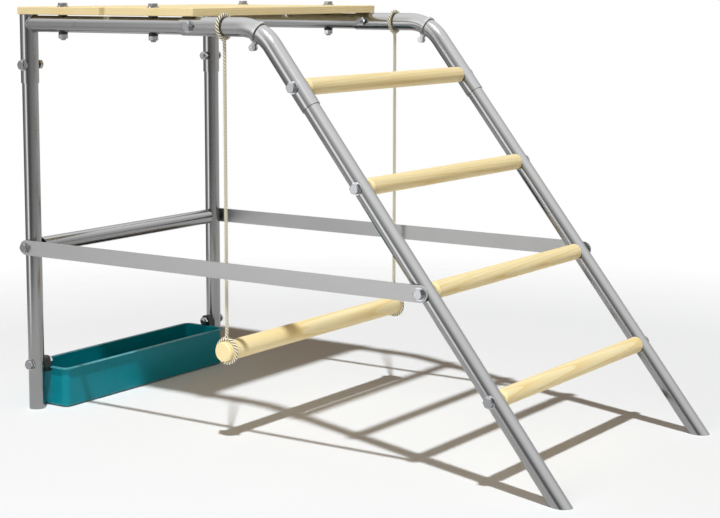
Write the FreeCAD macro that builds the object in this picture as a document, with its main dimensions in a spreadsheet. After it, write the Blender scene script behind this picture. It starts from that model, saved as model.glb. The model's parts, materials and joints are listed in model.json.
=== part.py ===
import FreeCAD, Part

# A low climbing frame: two bent-tube frames side by side, each a post, a top rail, an elbow and a
# sloping stringer; a two-plank platform on the rails; four wooden rungs between the stringers; a
# trough hung between the posts; flat side braces; and a wooden bar that swings on two ropes.
#
# The frame's middle plane is Y = 0, the front frame is on -Y and the back frame on +Y. +X runs from
# the posts to the feet of the ladder and +Z is up. The floor is Z = 0, and the origin is on it, at
# the middle of the whole object's box. Lengths are millimetres and angles are degrees.

import math
import os
import re
from types import SimpleNamespace

import Sketcher
from FreeCAD import Placement, Rotation, Vector

# Every size that can be set by itself: its name, its value and what it measures.
SIZES = [
    ("frame_width", 570.0, "front frame's middle to back frame's middle"),
    ("rail_height", 775.0, "floor to the middle of the top rails"),
    ("knee_reach", 574.0, "post to where the rail's and the stringer's middle lines cross"),
    ("ladder_slope", 51.7, "stringer's angle from the floor"),
    ("pole_outer", 32.0, "post, rail, stringer and crossbar, outside"),
    ("pole_wall", 1.5, "wall of those tubes"),
    ("sleeve_play", 0.3, "corner sleeve's and elbow's bore all round the tube"),
    ("sleeve_wall", 1.5, "wall of the corner sleeve and the elbow"),
    ("spigot_play", 0.3, "corner fitting's spigot all round inside the rail"),
    ("spigot_wall", 1.5, "wall of that spigot"),
    ("spigot_reach", 180.0, "post to the end of the spigot"),
    ("arm_reach", 135.0, "post to the shoulder where the arm steps down to its spigot"),
    ("arm_round", 1.2, "that shoulder's rounded edge"),
    ("arm_seam", 1.0, "shoulder to the rail's end"),
    ("corner_drop", 117.0, "rail's middle to the lower end of the corner sleeve"),
    ("corner_bolt_drop", 81.0, "rail's middle to the corner bolt"),
    ("corner_cap", 1.5, "closed top of the corner sleeve"),
    ("post_gap", 6.0, "top of the post to the arm's underside"),
    ("elbow_leg", 178.0, "knee to either end of the elbow"),
    ("bend_radius", 90.0, "elbow's middle line"),
    ("rail_socket", 54.0, "rail's length inside the elbow"),
    ("rail_bolt_inset", 25.0, "elbow's end to the rail bolt"),
    ("stringer_socket", 106.0, "stringer's length inside the elbow"),
    ("rung_first", 133.0, "knee to the top rung, down the stringer"),
    ("rung_pitch", 216.5, "rung to rung, down the stringer"),
    ("rung_outer", 31.0, "rung"),
    ("rung_chamfer", 4.0, "rung's ends"),
    ("insert_outer", 14.0, "threaded insert in a rung's end"),
    ("insert_length", 28.0, "threaded insert and crossbar plug"),
    ("brace_width", 30.0, "flat side brace"),
    ("brace_thickness", 3.0, "flat side brace"),
    ("plank_width", 216.0, "one plank of the platform, along the rails"),
    ("plank_gap", 14.0, "between the planks"),
    ("plank_thickness", 15.0, "plank"),
    ("plank_overhang", 15.0, "plank's end past the rail's middle"),
    ("plank_edge", 16.0, "first plank's edge past the post's middle"),
    ("plank_round", 1.5, "plank's rounded edges"),
    ("plank_play", 0.2, "sleeve's top to the plank's underside"),
    ("trough_width", 115.0, "trough's rim, across"),
    ("trough_height", 80.0, "trough"),
    ("trough_lift", 2.0, "floor to the trough's underside"),
    ("trough_end_gap", 26.0, "post's middle to the trough's rim"),
    ("trough_wall", 2.6, "trough's walls and floor"),
    ("trough_corner", 13.0, "trough's upright corners, outside"),
    ("trough_foot_round", 4.0, "trough's lower edges, outside"),
    ("lip_overhang", 5.7, "rim's lip past the wall"),
    ("lip_thickness", 2.5, "rim's lip"),
    ("hanger_width", 26.0, "trough's hanger, across"),
    ("hanger_drop", 8.0, "rim to the hanger's lower end"),
    ("hanger_crest", 12.0, "trough bolt to the hanger's top"),
    ("hanger_crest_width", 17.0, "hanger's flat top before rounding"),
    ("hanger_crest_round", 7.0, "hanger's rounded top corners"),
    ("hanger_front", 12.0, "post's middle to the hanger's near face"),
    ("hanger_back", 30.0, "post's middle to the hanger's nut face"),
    ("hanger_play", 0.2, "lip in the hanger's slot"),
    ("trough_bolt_rise", 10.0, "rim to the trough bolt"),
    ("rope_reach", 491.0, "post to the ropes"),
    ("rope_outer", 7.0, "rope"),
    ("rope_play", 0.2, "rail loop's play on the elbow"),
    ("swing_height", 176.5, "floor to the middle of the swing bar"),
    ("swing_outer", 37.0, "swing bar"),
    ("swing_overhang", 14.0, "swing bar's end past the rope"),
    ("swing_chamfer", 2.5, "swing bar's ends"),
    ("swing_play", 0.3, "play at the rope's pivot and in the loop round the bar"),
    ("clamp_band", 6.0, "stop clamp, along the tube"),
    ("clamp_wall", 2.8, "stop clamp's band"),
    ("clamp_play", 0.1, "stop clamp's bore over the bent tube"),
    ("clamp_lug_reach", 13.0, "tube's surface to the middle of the lug's round end"),
    ("clamp_lug_width", 12.0, "lug, across the frame"),
    ("clamp_lug_round", 6.0, "lug's round end"),
    ("clamp_slot", 2.4, "slot between the lug's two ears"),
    ("clamp_screw", 5.0, "screw through the lug"),
    ("bolt_thread", 10.0, "every bolt's shank"),
    ("bolt_hole", 10.6, "bolt holes in tubes, planks and flat bars"),
    ("thread_play", 0.1, "nuts' and inserts' bores over the shank"),
    ("hex_flats", 17.0, "heads and nuts, across flats"),
    ("hex_face", 15.6, "round face of a head or nut"),
    ("head_height", 6.4, "bolt head"),
    ("nut_height", 8.0, "nut"),
    ("tip_height", 1.2, "bolt's tapered tip"),
    ("washer_outer", 23.0, "washer"),
    ("washer_thickness", 2.0, "washer"),
    ("saddle_outer", 18.0, "saddle washer"),
    ("saddle_thickness", 4.0, "saddle washer at its thinnest"),
    ("nut_tip", 3.2, "bolt's end past its nut"),
    ("bolt_end_gap", 2.0, "rung's bolt to the inner end of its insert"),
]
RUNG_COUNT = 4
PLANK_COUNT = 2
BORE_DEPTH_PLAY = 1.0  # a blind hole's extra depth behind its insert

SIDES = {"front": -1, "back": 1}
size = SimpleNamespace(**{alias: value for alias, value, _ in SIZES})

# Two outside diameters follow from the tube that they fit: as formulas and as numbers.
FOLLOWING = {
    "sleeve_outer": "(pole_outer + 2 * sleeve_play + 2 * sleeve_wall)",
    "spigot_outer": "(pole_outer - 2 * pole_wall - 2 * spigot_play)",
}
size.sleeve_outer = size.pole_outer + 2 * size.sleeve_play + 2 * size.sleeve_wall
size.spigot_outer = size.pole_outer - 2 * size.pole_wall - 2 * size.spigot_play

document = FreeCAD.newDocument("climbing_frame")
sheet = document.addObject("Spreadsheet::Sheet", "sizes")
for row, (alias, value, note) in enumerate(SIZES, start=1):
    sheet.set(f"A{row}", alias)
    sheet.set(f"B{row}", str(value))
    sheet.set(f"C{row}", note)
    sheet.setAlias(f"B{row}", alias)
document.recompute()

nodes = []
cuts = []

# ---------------------------------------------------------------- places worked out from the sizes

HALF_WIDTH = size.frame_width / 2
POLE_RADIUS = size.pole_outer / 2
SLEEVE_RADIUS = size.sleeve_outer / 2
SLOPE = math.radians(size.ladder_slope)
DOWN_LADDER = Vector(math.cos(SLOPE), 0, -math.sin(SLOPE))
FOOT_RUN = size.rail_height / math.sin(SLOPE)

left_reach = max(size.trough_width / 2, size.plank_edge, SLEEVE_RADIUS, size.brace_width / 2)
right_reach = size.knee_reach + FOOT_RUN * math.cos(SLOPE) + POLE_RADIUS / math.sin(SLOPE)
POST_X = (left_reach - right_reach) / 2
KNEE = Vector(POST_X + size.knee_reach, 0, size.rail_height)


def on_stringer(run):
    """The point of the stringer's middle line that lies this far down from the knee."""
    return KNEE + DOWN_LADDER * run


RUNG_RUNS = [size.rung_first + number * size.rung_pitch for number in range(RUNG_COUNT)]
RUNG_POINTS = [on_stringer(run) for run in RUNG_RUNS]
BRACE_RUNG = 2
BRACE_END = RUNG_POINTS[BRACE_RUNG]
ELBOW_X = KNEE.x - size.elbow_leg
RAIL_BOLT_X = ELBOW_X + size.rail_bolt_inset
PLANK_PITCH = size.plank_width + size.plank_gap
PLANK_X = [POST_X - size.plank_edge + size.plank_width / 2 + number * PLANK_PITCH
           for number in range(PLANK_COUNT)]
PLANK_UNDERSIDE = size.rail_height + SLEEVE_RADIUS + size.plank_play
PLANK_TOP = PLANK_UNDERSIDE + size.plank_thickness
CORNER_BOLT_Z = size.rail_height - size.corner_bolt_drop
RIM_Z = size.trough_lift + size.trough_height
TROUGH_BOLT_Z = RIM_Z + size.trough_bolt_rise
ROPE_X = POST_X + size.rope_reach
RAIL_LOOP_RADIUS = SLEEVE_RADIUS + size.rope_play + size.rope_outer / 2
BAR_LOOP_RADIUS = (size.swing_outer + size.rope_outer) / 2 + size.swing_play
PIVOT_Z = size.rail_height - RAIL_LOOP_RADIUS

# ------------------------------------------------------------------------------- drawing functions


def bound(formula):
    """The formula as an expression that reads the sheet: every size's name gets its sheet's name."""
    for alias, worked_out in FOLLOWING.items():
        formula = formula.replace(alias, worked_out)
    return re.sub(r"\b[a-z]+_[a-z_]+\b", lambda word: "sizes." + word.group(), formula)


def keep(part):
    """Hand this sub-part in: its Label names its file."""
    nodes.append(part)
    return part


def new_body(label):
    """An empty body with this label."""
    body = document.addObject("PartDesign::Body", label)
    body.Label = label
    return body


def new_sketch(body, plane, offset=None):
    """A sketch on one of the body's own origin planes, raised along its normal by a formula."""
    sketch = body.newObject("Sketcher::SketchObject", f"{body.Name}_sketch")
    origin_plane = next(item for item in body.Origin.OriginFeatures if item.Role == f"{plane}_Plane")
    sketch.AttachmentSupport = [(origin_plane, "")]
    sketch.MapMode = "FlatFace"
    if offset:
        sketch.setExpression("AttachmentOffset.Base.z", bound(offset))
    return sketch


def dimension(sketch, kind, *where, formula):
    """A driving dimension whose value is a formula."""
    first_guess = 10.0
    index = sketch.addConstraint(Sketcher.Constraint(kind, *where, first_guess))
    sketch.setExpression(f"Constraints[{index}]", bound(formula))


def pin_point(sketch, item, point, across, up):
    """Place a point from the sketch's origin; None keeps it on the axis."""
    if across is None:
        sketch.addConstraint(Sketcher.Constraint("PointOnObject", item, point, -2))
    else:
        dimension(sketch, "DistanceX", -1, 1, item, point, formula=across)
    if up is None:
        sketch.addConstraint(Sketcher.Constraint("PointOnObject", item, point, -1))
    else:
        dimension(sketch, "DistanceY", -1, 1, item, point, formula=up)


def draw_circle(sketch, diameter, across=None, up=None):
    """A circle of this diameter round a placed centre."""
    start = Part.Circle(Vector(0, 0, 0), Vector(0, 0, 1), 5)
    item = sketch.addGeometry(start, False)
    dimension(sketch, "Diameter", item, formula=diameter)
    pin_point(sketch, item, 3, across, up)


def draw_polygon(sketch, corners):
    """A closed outline of straight lines through placed corners."""
    count = len(corners)
    turn = 2 * math.pi / count
    spots = [Vector(20 * math.cos(turn * step), 20 * math.sin(turn * step), 0) for step in range(count)]
    lines = [sketch.addGeometry(Part.LineSegment(spots[step], spots[(step + 1) % count]), False)
             for step in range(count)]
    for step, (across, up) in enumerate(corners):
        ahead = lines[(step - 1) % count]
        sketch.addConstraint(Sketcher.Constraint("Coincident", ahead, 2, lines[step], 1))
        pin_point(sketch, lines[step], 1, across, up)


def draw_rectangle(sketch, width, length):
    """A rectangle centred on the sketch's origin."""
    half_width = f"({width}) / 2"
    half_length = f"({length}) / 2"
    draw_polygon(sketch, [(half_width, half_length), (f"-{half_width}", half_length),
                          (f"-{half_width}", f"-{half_length}"), (half_width, f"-{half_length}")])


def draw_rounded_rectangle(sketch, width, length, radius):
    """A rectangle with round corners, centred on the sketch's origin."""
    reach, round_start = 30, 20
    quarter = math.pi / 2
    lines = []
    arcs = []
    for step in range(4):
        turn = Rotation(Vector(0, 0, 1), 90 * step)
        start = turn.multVec(Vector(reach, -round_start, 0))
        end = turn.multVec(Vector(reach, round_start, 0))
        centre = turn.multVec(Vector(round_start, round_start, 0))
        circle = Part.Circle(centre, Vector(0, 0, 1), reach - round_start)
        lines.append(sketch.addGeometry(Part.LineSegment(start, end), False))
        arc = Part.ArcOfCircle(circle, step * quarter, (step + 1) * quarter)
        arcs.append(sketch.addGeometry(arc, False))
    for step in range(4):
        sketch.addConstraint(Sketcher.Constraint("Tangent", lines[step], 2, arcs[step], 1))
        sketch.addConstraint(Sketcher.Constraint("Tangent", arcs[step], 2, lines[(step + 1) % 4], 1))
        sketch.addConstraint(Sketcher.Constraint("Horizontal" if step % 2 else "Vertical", lines[step]))
        dimension(sketch, "Radius", arcs[step], formula=radius)
        span = length if step % 2 else width
        sign = "-" if step > 1 else ""
        dimension(sketch, "DistanceY" if step % 2 else "DistanceX", -1, 1, lines[step], 1,
                  formula=f"{sign}({span}) / 2")


def pad(body, sketch, length, symmetric=False):
    """Grow the sketch along its normal, or to both sides of it."""
    feature = body.newObject("PartDesign::Pad", f"{body.Name}_pad")
    feature.Profile = sketch
    feature.setExpression("Length", bound(length))
    if symmetric:
        feature.SideType = "Symmetric"
    document.recompute()
    return feature


def pocket(body, sketch, length=None, along_normal=False):
    """Cut the sketch right through both ways, or to a depth against or along its normal."""
    before = body.Shape.Volume
    feature = body.newObject("PartDesign::Pocket", f"{body.Name}_pocket")
    feature.Profile = sketch
    if length is None:
        feature.Type = "ThroughAll"
        feature.SideType = "Symmetric"
    else:
        feature.setExpression("Length", bound(length))
        feature.Reversed = along_normal
    document.recompute()
    cuts.append((feature.Label, before, feature.Shape.Volume))
    return feature


def dress(body, kind, chosen, amount):
    """A PartDesign Fillet or Chamfer on every edge that the chosen test picks out."""
    base = body.Tip
    names = [f"Edge{number}" for number, edge in enumerate(base.Shape.Edges, start=1) if chosen(edge)]
    feature = body.newObject(f"PartDesign::{kind}", f"{body.Name}_{kind.lower()}")
    feature.Base = (base, names)
    feature.setExpression("Radius" if kind == "Fillet" else "Size", bound(amount))
    document.recompute()
    return feature


def is_level(edge, height):
    """An edge that lies all at one height."""
    box = edge.BoundBox
    return abs(box.ZMin - height) < 1e-4 and abs(box.ZMax - height) < 1e-4


def drill(body, plane, spots, diameter="bolt_hole"):
    """Round holes right through the body, at right angles to one of its planes."""
    sketch = new_sketch(body, plane)
    for across, up in spots:
        draw_circle(sketch, diameter, across, up)
    pocket(body, sketch)


def tube(label, length, outer, wall, side_holes=(), top_holes=()):
    """A round tube along its own Z, with bolt holes along its Y (side) and along its X (top)."""
    body = new_body(label)
    sketch = new_sketch(body, "XY")
    draw_circle(sketch, outer)
    draw_circle(sketch, f"{outer} - 2 * {wall}")
    pad(body, sketch, length)
    if side_holes:
        drill(body, "XZ", [(None, up) for up in side_holes])
    if top_holes:
        drill(body, "YZ", [(None, up) for up in top_holes])
    return body


# ------------------------------------------------------------------------------ placing functions

ALONG_X = Rotation(Vector(0, 1, 0), 90)
ALONG_Y = Rotation(Vector(1, 0, 0), -90)
ALONG_LADDER = Rotation(Vector(0, 1, 0), 90 + size.ladder_slope)
UPRIGHT = Vector(0, 0, 1)
LENGTHWAYS = Vector(1, 0, 0)
DOWN = Vector(0, 0, -1)


def out(side, distance=0.0):
    """The Y of a point this far outside the side's frame plane."""
    return side * (HALF_WIDTH + distance)


def facing(direction):
    """The turn that points a piece's own Z this way."""
    return Rotation(Vector(0, 0, 1), direction)


def astride(tube_direction, direction):
    """The turn of a saddle: its own X along the tube and its own Z away from the tube."""
    return Rotation(tube_direction, direction.cross(tube_direction), direction, "ZXY")


def inward(side):
    """From the side's outer face towards the middle of the frame."""
    return Vector(0, -side, 0)


def cross_bolts(points, seat):
    """Places of bolts that run inwards from a seat this far outside the frame plane, both sides."""
    return [Placement(Vector(point.x, out(side, seat), point.z), facing(inward(side)))
            for point in points for side in SIDES.values()]


def group(label, piece, places):
    """One sub-part made of the same piece at several places, each a separate solid."""
    links = []
    for number, place in enumerate(places, start=1):
        link = document.addObject("App::Link", f"{label}_{number}")
        link.LinkedObject = piece
        link.Placement = place
        links.append(link)
    compound = document.addObject("Part::Compound", label)
    compound.Links = links
    compound.Label = label
    keep(compound)


# ----------------------------------------------------------------------------- fastener functions


def primitive(kind, name, **formulas):
    """A Part primitive whose properties are formulas."""
    item = document.addObject(f"Part::{kind}", name)
    for name_of_size, formula in formulas.items():
        item.setExpression(name_of_size, bound(formula))
    return item


def joined(name, pieces):
    """The union of several primitives."""
    item = document.addObject("Part::MultiFuse", name)
    item.Shapes = pieces
    return item


def removed(name, base, tool):
    """The base less the tool."""
    item = document.addObject("Part::Cut", name)
    item.Base = base
    item.Tool = tool
    return item


def hexagon(name, height, point_up):
    """A hexagon from Z = 0 to the height, its far corners turned off at 30 degrees."""
    prism = primitive("Prism", f"{name}_prism", Circumradius="hex_flats / sqrt(3)", Height=height)
    prism.Polygon = 6
    wide = f"hex_face / 2 + {height} / tan(30)"
    cone = primitive("Cone", f"{name}_cone", Radius1=wide, Radius2="hex_face / 2", Height=height)
    item = document.addObject("Part::Common", f"{name}_hexagon")
    item.Base = prism
    item.Tool = cone
    if not point_up:
        item.Placement = Placement(Vector(0, 0, 0), Rotation(Vector(1, 0, 0), 180))
    return item


def bolt(name, length):
    """A hexagon bolt: the head below Z = 0, the shank above it."""
    head = hexagon(name, "head_height", point_up=False)
    shank = primitive("Cylinder", f"{name}_shank", Radius="bolt_thread / 2", Height=f"{length} - tip_height")
    tip = primitive("Cone", f"{name}_tip", Radius1="bolt_thread / 2",
                    Radius2="bolt_thread / 2 - tip_height", Height="tip_height")
    tip.setExpression("Placement.Base.z", bound(f"{length} - tip_height"))
    return joined(name, [head, shank, tip])


def nut(name):
    """A hexagon nut that seats on Z = 0."""
    bore = primitive("Cylinder", f"{name}_bore", Radius="bolt_thread / 2 + thread_play", Height="nut_height")
    return removed(name, hexagon(name, "nut_height", point_up=True), bore)


def ring(name, outer, bore, height):
    """A plain round ring from Z = 0."""
    disc = primitive("Cylinder", f"{name}_disc", Radius=f"{outer} / 2", Height=height)
    hole = primitive("Cylinder", f"{name}_hole", Radius=f"({bore}) / 2", Height=height)
    return removed(name, disc, hole)


def saddle(name, tube_outer, thickness):
    """A washer hollowed to sit on a tube that runs along X through the origin, its flat face up."""
    height = f"{tube_outer} / 2 + {thickness}"
    plug = primitive("Cylinder", f"{name}_plug", Radius="saddle_outer / 2", Height=height)
    hole = primitive("Cylinder", f"{name}_hole", Radius="bolt_hole / 2", Height=height)
    seat = primitive("Cylinder", f"{name}_seat", Radius=f"{tube_outer} / 2", Height="2 * saddle_outer")
    seat.Placement = Placement(Vector(-size.saddle_outer, 0, 0), ALONG_X)
    return removed(name, plug, joined(f"{name}_tools", [hole, seat]))


# --------------------------------------------------------------------------------------- the frame


def make_posts():
    """The two upright tubes, drilled for the trough, the braces and the corner bolts."""
    brace_height = f"rail_height - (rung_first + {BRACE_RUNG} * rung_pitch) * sin(ladder_slope)"
    trough_bolt_height = "trough_lift + trough_height + trough_bolt_rise"
    length = "rail_height - pole_outer / 2 - post_gap"
    holes = [trough_bolt_height, brace_height, "rail_height - corner_bolt_drop"]
    for name, side in SIDES.items():
        post = tube(f"{name}_post", length, "pole_outer", "pole_wall", holes)
        post.Placement = Placement(Vector(POST_X, out(side), 0), Rotation())
        keep(post)


def is_shoulder(edge):
    """Whether this is the rim of the arm where it steps down to its spigot."""
    at_shoulder = abs(edge.CenterOfMass.x - size.arm_reach) < 0.01
    return at_shoulder and abs(edge.Length - math.pi * size.pole_outer) < 0.01


def make_corner_fittings():
    """The capped sleeves over the posts, each with an arm welded on that steps down to a spigot."""
    for name, side in SIDES.items():
        body = new_body(f"{name}_corner_fitting")
        sleeve = new_sketch(body, "XY", "-corner_drop")
        draw_circle(sleeve, "sleeve_outer")
        pad(body, sleeve, "corner_drop + sleeve_outer / 2")
        arm = new_sketch(body, "YZ")
        draw_circle(arm, "pole_outer")
        pad(body, arm, "arm_reach")
        spigot = new_sketch(body, "YZ")
        draw_circle(spigot, "spigot_outer")
        pad(body, spigot, "spigot_reach")
        dress(body, "Fillet", is_shoulder, "arm_round")
        sleeve_bore = new_sketch(body, "XY", "-corner_drop")
        draw_circle(sleeve_bore, "sleeve_outer - 2 * sleeve_wall")
        pocket(body, sleeve_bore, "corner_drop + sleeve_outer / 2 - corner_cap", along_normal=True)
        spigot_bore = new_sketch(body, "YZ", "spigot_reach")
        draw_circle(spigot_bore, "spigot_outer - 2 * spigot_wall")
        pocket(body, spigot_bore, "spigot_reach")
        arm_bore = new_sketch(body, "YZ", "arm_reach - 2 * pole_wall")
        draw_circle(arm_bore, "pole_outer - 2 * pole_wall")
        pocket(body, arm_bore, "arm_reach - 2 * pole_wall")
        drill(body, "XZ", [(None, "-corner_bolt_drop")])
        drill(body, "XY", [("plank_width / 2 - plank_edge", None)])
        body.Placement = Placement(Vector(POST_X, out(side), size.rail_height), Rotation())
        keep(body)


def make_top_rails():
    """The level tubes, each over a corner fitting's arm at one end and in an elbow at the other."""
    length = "knee_reach - elbow_leg + rail_socket - arm_reach - arm_seam"
    plank_hole = "plank_width * 1.5 + plank_gap - plank_edge - arm_reach - arm_seam"
    elbow_hole = "knee_reach - elbow_leg + rail_bolt_inset - arm_reach - arm_seam"
    for name, side in SIDES.items():
        rail = tube(f"{name}_top_rail", length, "pole_outer", "pole_wall", [elbow_hole], [plank_hole])
        start = Vector(POST_X + size.arm_reach + size.arm_seam, out(side), size.rail_height)
        rail.Placement = Placement(start, ALONG_X)
        keep(rail)


def draw_elbow_path(sketch):
    """Level leg, bend and sloping leg, with the knee at the sketch's origin."""
    tangent = size.bend_radius * math.tan(SLOPE / 2)
    level_start = Vector(-size.elbow_leg, 0, 0)
    bend_start = Vector(-tangent, 0, 0)
    bend_end = Vector(tangent * math.cos(SLOPE), -tangent * math.sin(SLOPE), 0)
    slope_end = Vector(size.elbow_leg * math.cos(SLOPE), -size.elbow_leg * math.sin(SLOPE), 0)
    circle = Part.Circle(Vector(-tangent, -size.bend_radius, 0), Vector(0, 0, 1), size.bend_radius)
    level = sketch.addGeometry(Part.LineSegment(level_start, bend_start), False)
    bend = sketch.addGeometry(Part.ArcOfCircle(circle, math.pi / 2 - SLOPE, math.pi / 2), False)
    slope = sketch.addGeometry(Part.LineSegment(bend_end, slope_end), False)
    sketch.addConstraint(Sketcher.Constraint("Tangent", level, 2, bend, 2))
    sketch.addConstraint(Sketcher.Constraint("Tangent", bend, 1, slope, 1))
    sketch.addConstraint(Sketcher.Constraint("PointOnObject", level, 2, -1))
    sketch.addConstraint(Sketcher.Constraint("PointOnObject", -1, 1, slope))
    dimension(sketch, "Radius", bend, formula="bend_radius")
    pin_point(sketch, level, 1, "-elbow_leg", None)
    pin_point(sketch, slope, 2, "elbow_leg * cos(ladder_slope)", "-elbow_leg * sin(ladder_slope)")


def make_elbows():
    """The bent sleeves that join the rails to the stringers."""
    for name, side in SIDES.items():
        body = new_body(f"{name}_elbow")
        path = new_sketch(body, "XZ")
        draw_elbow_path(path)
        section = new_sketch(body, "YZ", "-elbow_leg")
        draw_circle(section, "sleeve_outer")
        draw_circle(section, "sleeve_outer - 2 * sleeve_wall")
        pipe = body.newObject("PartDesign::AdditivePipe", f"{body.Name}_pipe")
        pipe.Profile = section
        pipe.Spine = (path, ["Edge1", "Edge2", "Edge3"])
        document.recompute()
        drill(body, "XZ", [("rail_bolt_inset - elbow_leg", None),
                           ("rung_first * cos(ladder_slope)", "-rung_first * sin(ladder_slope)")])
        body.Placement = Placement(Vector(KNEE.x, out(side), KNEE.z), Rotation())
        keep(body)


def make_stringers():
    """The sloping tubes of the ladder, their feet cut level with the floor."""
    start = "(elbow_leg - stringer_socket)"
    run = f"(rail_height / sin(ladder_slope) - {start})"
    slant = "pole_outer / tan(ladder_slope)"
    holes = [f"rung_first + {number} * rung_pitch - {start}" for number in range(RUNG_COUNT)]
    for name, side in SIDES.items():
        stringer = tube(f"{name}_stringer", f"{run} + {slant}", "pole_outer", "pole_wall", holes)
        foot = new_sketch(stringer, "XZ")
        draw_polygon(foot, [("-pole_outer", f"{run} + {slant}"), ("pole_outer", f"{run} - {slant}"),
                            ("pole_outer", f"{run} + 2 * {slant}"), ("-pole_outer", f"{run} + 2 * {slant}")])
        pocket(stringer, foot)
        top = on_stringer(size.elbow_leg - size.stringer_socket)
        stringer.Placement = Placement(Vector(top.x, out(side), top.z), ALONG_LADDER)
        keep(stringer)


def make_crossbar():
    """The tube between the posts, with a threaded plug in each end."""
    span = "frame_width - pole_outer - 2 * saddle_thickness"
    half_span = HALF_WIDTH - POLE_RADIUS - size.saddle_thickness
    crossbar = tube("post_crossbar", span, "pole_outer", "pole_wall")
    crossbar.Placement = Placement(Vector(POST_X, -half_span, BRACE_END.z), ALONG_Y)
    keep(crossbar)
    bore = "bolt_thread + 2 * thread_play"
    plug = ring("crossbar_plug", "(pole_outer - 2 * pole_wall)", bore, "insert_length")
    places = [Placement(Vector(POST_X, side * half_span, BRACE_END.z), facing(inward(side)))
              for side in SIDES.values()]
    group("crossbar_plugs", plug, places)


def make_flat_braces():
    """The flat bars from the posts to the third rung, on saddles outside the tubes."""
    reach = f"knee_reach + (rung_first + {BRACE_RUNG} * rung_pitch) * cos(ladder_slope)"
    for name, side in SIDES.items():
        bar = primitive("Box", f"{name}_brace_bar", Length=reach, Width="brace_width",
                        Height="brace_thickness")
        bar.setExpression("Placement.Base.y", bound("-brace_width / 2"))
        ends = [primitive("Cylinder", f"{name}_brace_end_{number}", Radius="brace_width / 2",
                          Height="brace_thickness") for number in range(2)]
        holes = [primitive("Cylinder", f"{name}_brace_hole_{number}", Radius="bolt_hole / 2",
                           Height="brace_thickness") for number in range(2)]
        for far_piece in (ends[1], holes[1]):
            far_piece.setExpression("Placement.Base.x", bound(reach))
        outline = joined(f"{name}_brace_outline", [bar, *ends])
        brace = removed(f"{name}_flat_brace", outline, joined(f"{name}_brace_holes", holes))
        turn = Rotation(LENGTHWAYS, UPRIGHT, Vector(0, -1, 0), "ZXY")
        back_face = POLE_RADIUS + size.saddle_thickness + (size.brace_thickness if side > 0 else 0)
        brace.Placement = Placement(Vector(POST_X, out(side, back_face), BRACE_END.z), turn)
        brace.Label = f"{name}_flat_brace"
        keep(brace)


# ------------------------------------------------------------------------------------ wooden parts


def make_rungs():
    """Four chamfered dowels between the stringers, bored at both ends for threaded inserts."""
    for number, point in enumerate(RUNG_POINTS):
        body = new_body(f"rung_{number + 1}")
        tube_size = "sleeve_outer" if number == 0 else "pole_outer"
        length = f"(frame_width - {tube_size})"
        outline = new_sketch(body, "XY")
        draw_circle(outline, "rung_outer")
        pad(body, outline, length, symmetric=True)
        rim = math.pi * size.rung_outer
        dress(body, "Chamfer", lambda edge: abs(edge.Length - rim) < 0.01, "rung_chamfer")
        for sign, along_normal in (("", False), ("-", True)):
            hole = new_sketch(body, "XY", f"{sign}{length} / 2")
            draw_circle(hole, "insert_outer")
            pocket(body, hole, f"insert_length + {BORE_DEPTH_PLAY}", along_normal)
        body.Placement = Placement(point, ALONG_Y)
        keep(body)


def make_rung_inserts():
    """The threaded inserts, flush with the rungs' ends."""
    insert = ring("rung_insert", "insert_outer", "bolt_thread + 2 * thread_play", "insert_length")
    places = cross_bolts(RUNG_POINTS[:1], -SLEEVE_RADIUS) + cross_bolts(RUNG_POINTS[1:], -POLE_RADIUS)
    group("rung_inserts", insert, places)


def make_planks():
    """The platform's two planks, lying across the rails."""
    for number, middle in enumerate(PLANK_X):
        body = new_body(f"platform_plank_{number + 1}")
        outline = new_sketch(body, "XY")
        draw_rectangle(outline, "plank_width", "frame_width + 2 * plank_overhang")
        pad(body, outline, "plank_thickness")
        faces = (0, size.plank_thickness)
        dress(body, "Fillet", lambda edge: any(is_level(edge, z) for z in faces), "plank_round")
        drill(body, "XY", [(None, "frame_width / 2"), (None, "-frame_width / 2")])
        body.Placement = Placement(Vector(middle, 0, PLANK_UNDERSIDE), Rotation())
        keep(body)


# ------------------------------------------------------------------------------ trough and hangers


def make_trough():
    """An open box with rounded corners and a lip that runs out all round its rim."""
    body = new_body("trough")
    rim_length = "(frame_width - 2 * trough_end_gap)"
    wall_width = "trough_width - 2 * lip_overhang"
    wall_length = f"{rim_length} - 2 * lip_overhang"
    outline = new_sketch(body, "XY")
    draw_rounded_rectangle(outline, wall_width, wall_length, "trough_corner")
    pad(body, outline, "trough_height")
    dress(body, "Fillet", lambda edge: is_level(edge, 0), "trough_foot_round")
    lip = new_sketch(body, "XY", "trough_height - lip_thickness")
    draw_rounded_rectangle(lip, "trough_width", rim_length, "trough_corner + lip_overhang")
    pad(body, lip, "lip_thickness")
    hollow = new_sketch(body, "XY", "trough_height")
    draw_rounded_rectangle(hollow, f"{wall_width} - 2 * trough_wall", f"{wall_length} - 2 * trough_wall",
                           "trough_corner - trough_wall")
    pocket(body, hollow, "trough_height - trough_wall")
    inner_round = "trough_foot_round - trough_wall / 2"
    dress(body, "Fillet", lambda edge: is_level(edge, size.trough_wall), inner_round)
    dress(body, "Fillet", lambda edge: is_level(edge, size.trough_height), "lip_thickness * 0.4")
    body.Placement = Placement(Vector(POST_X, 0, size.trough_lift), Rotation())
    keep(body)


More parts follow.
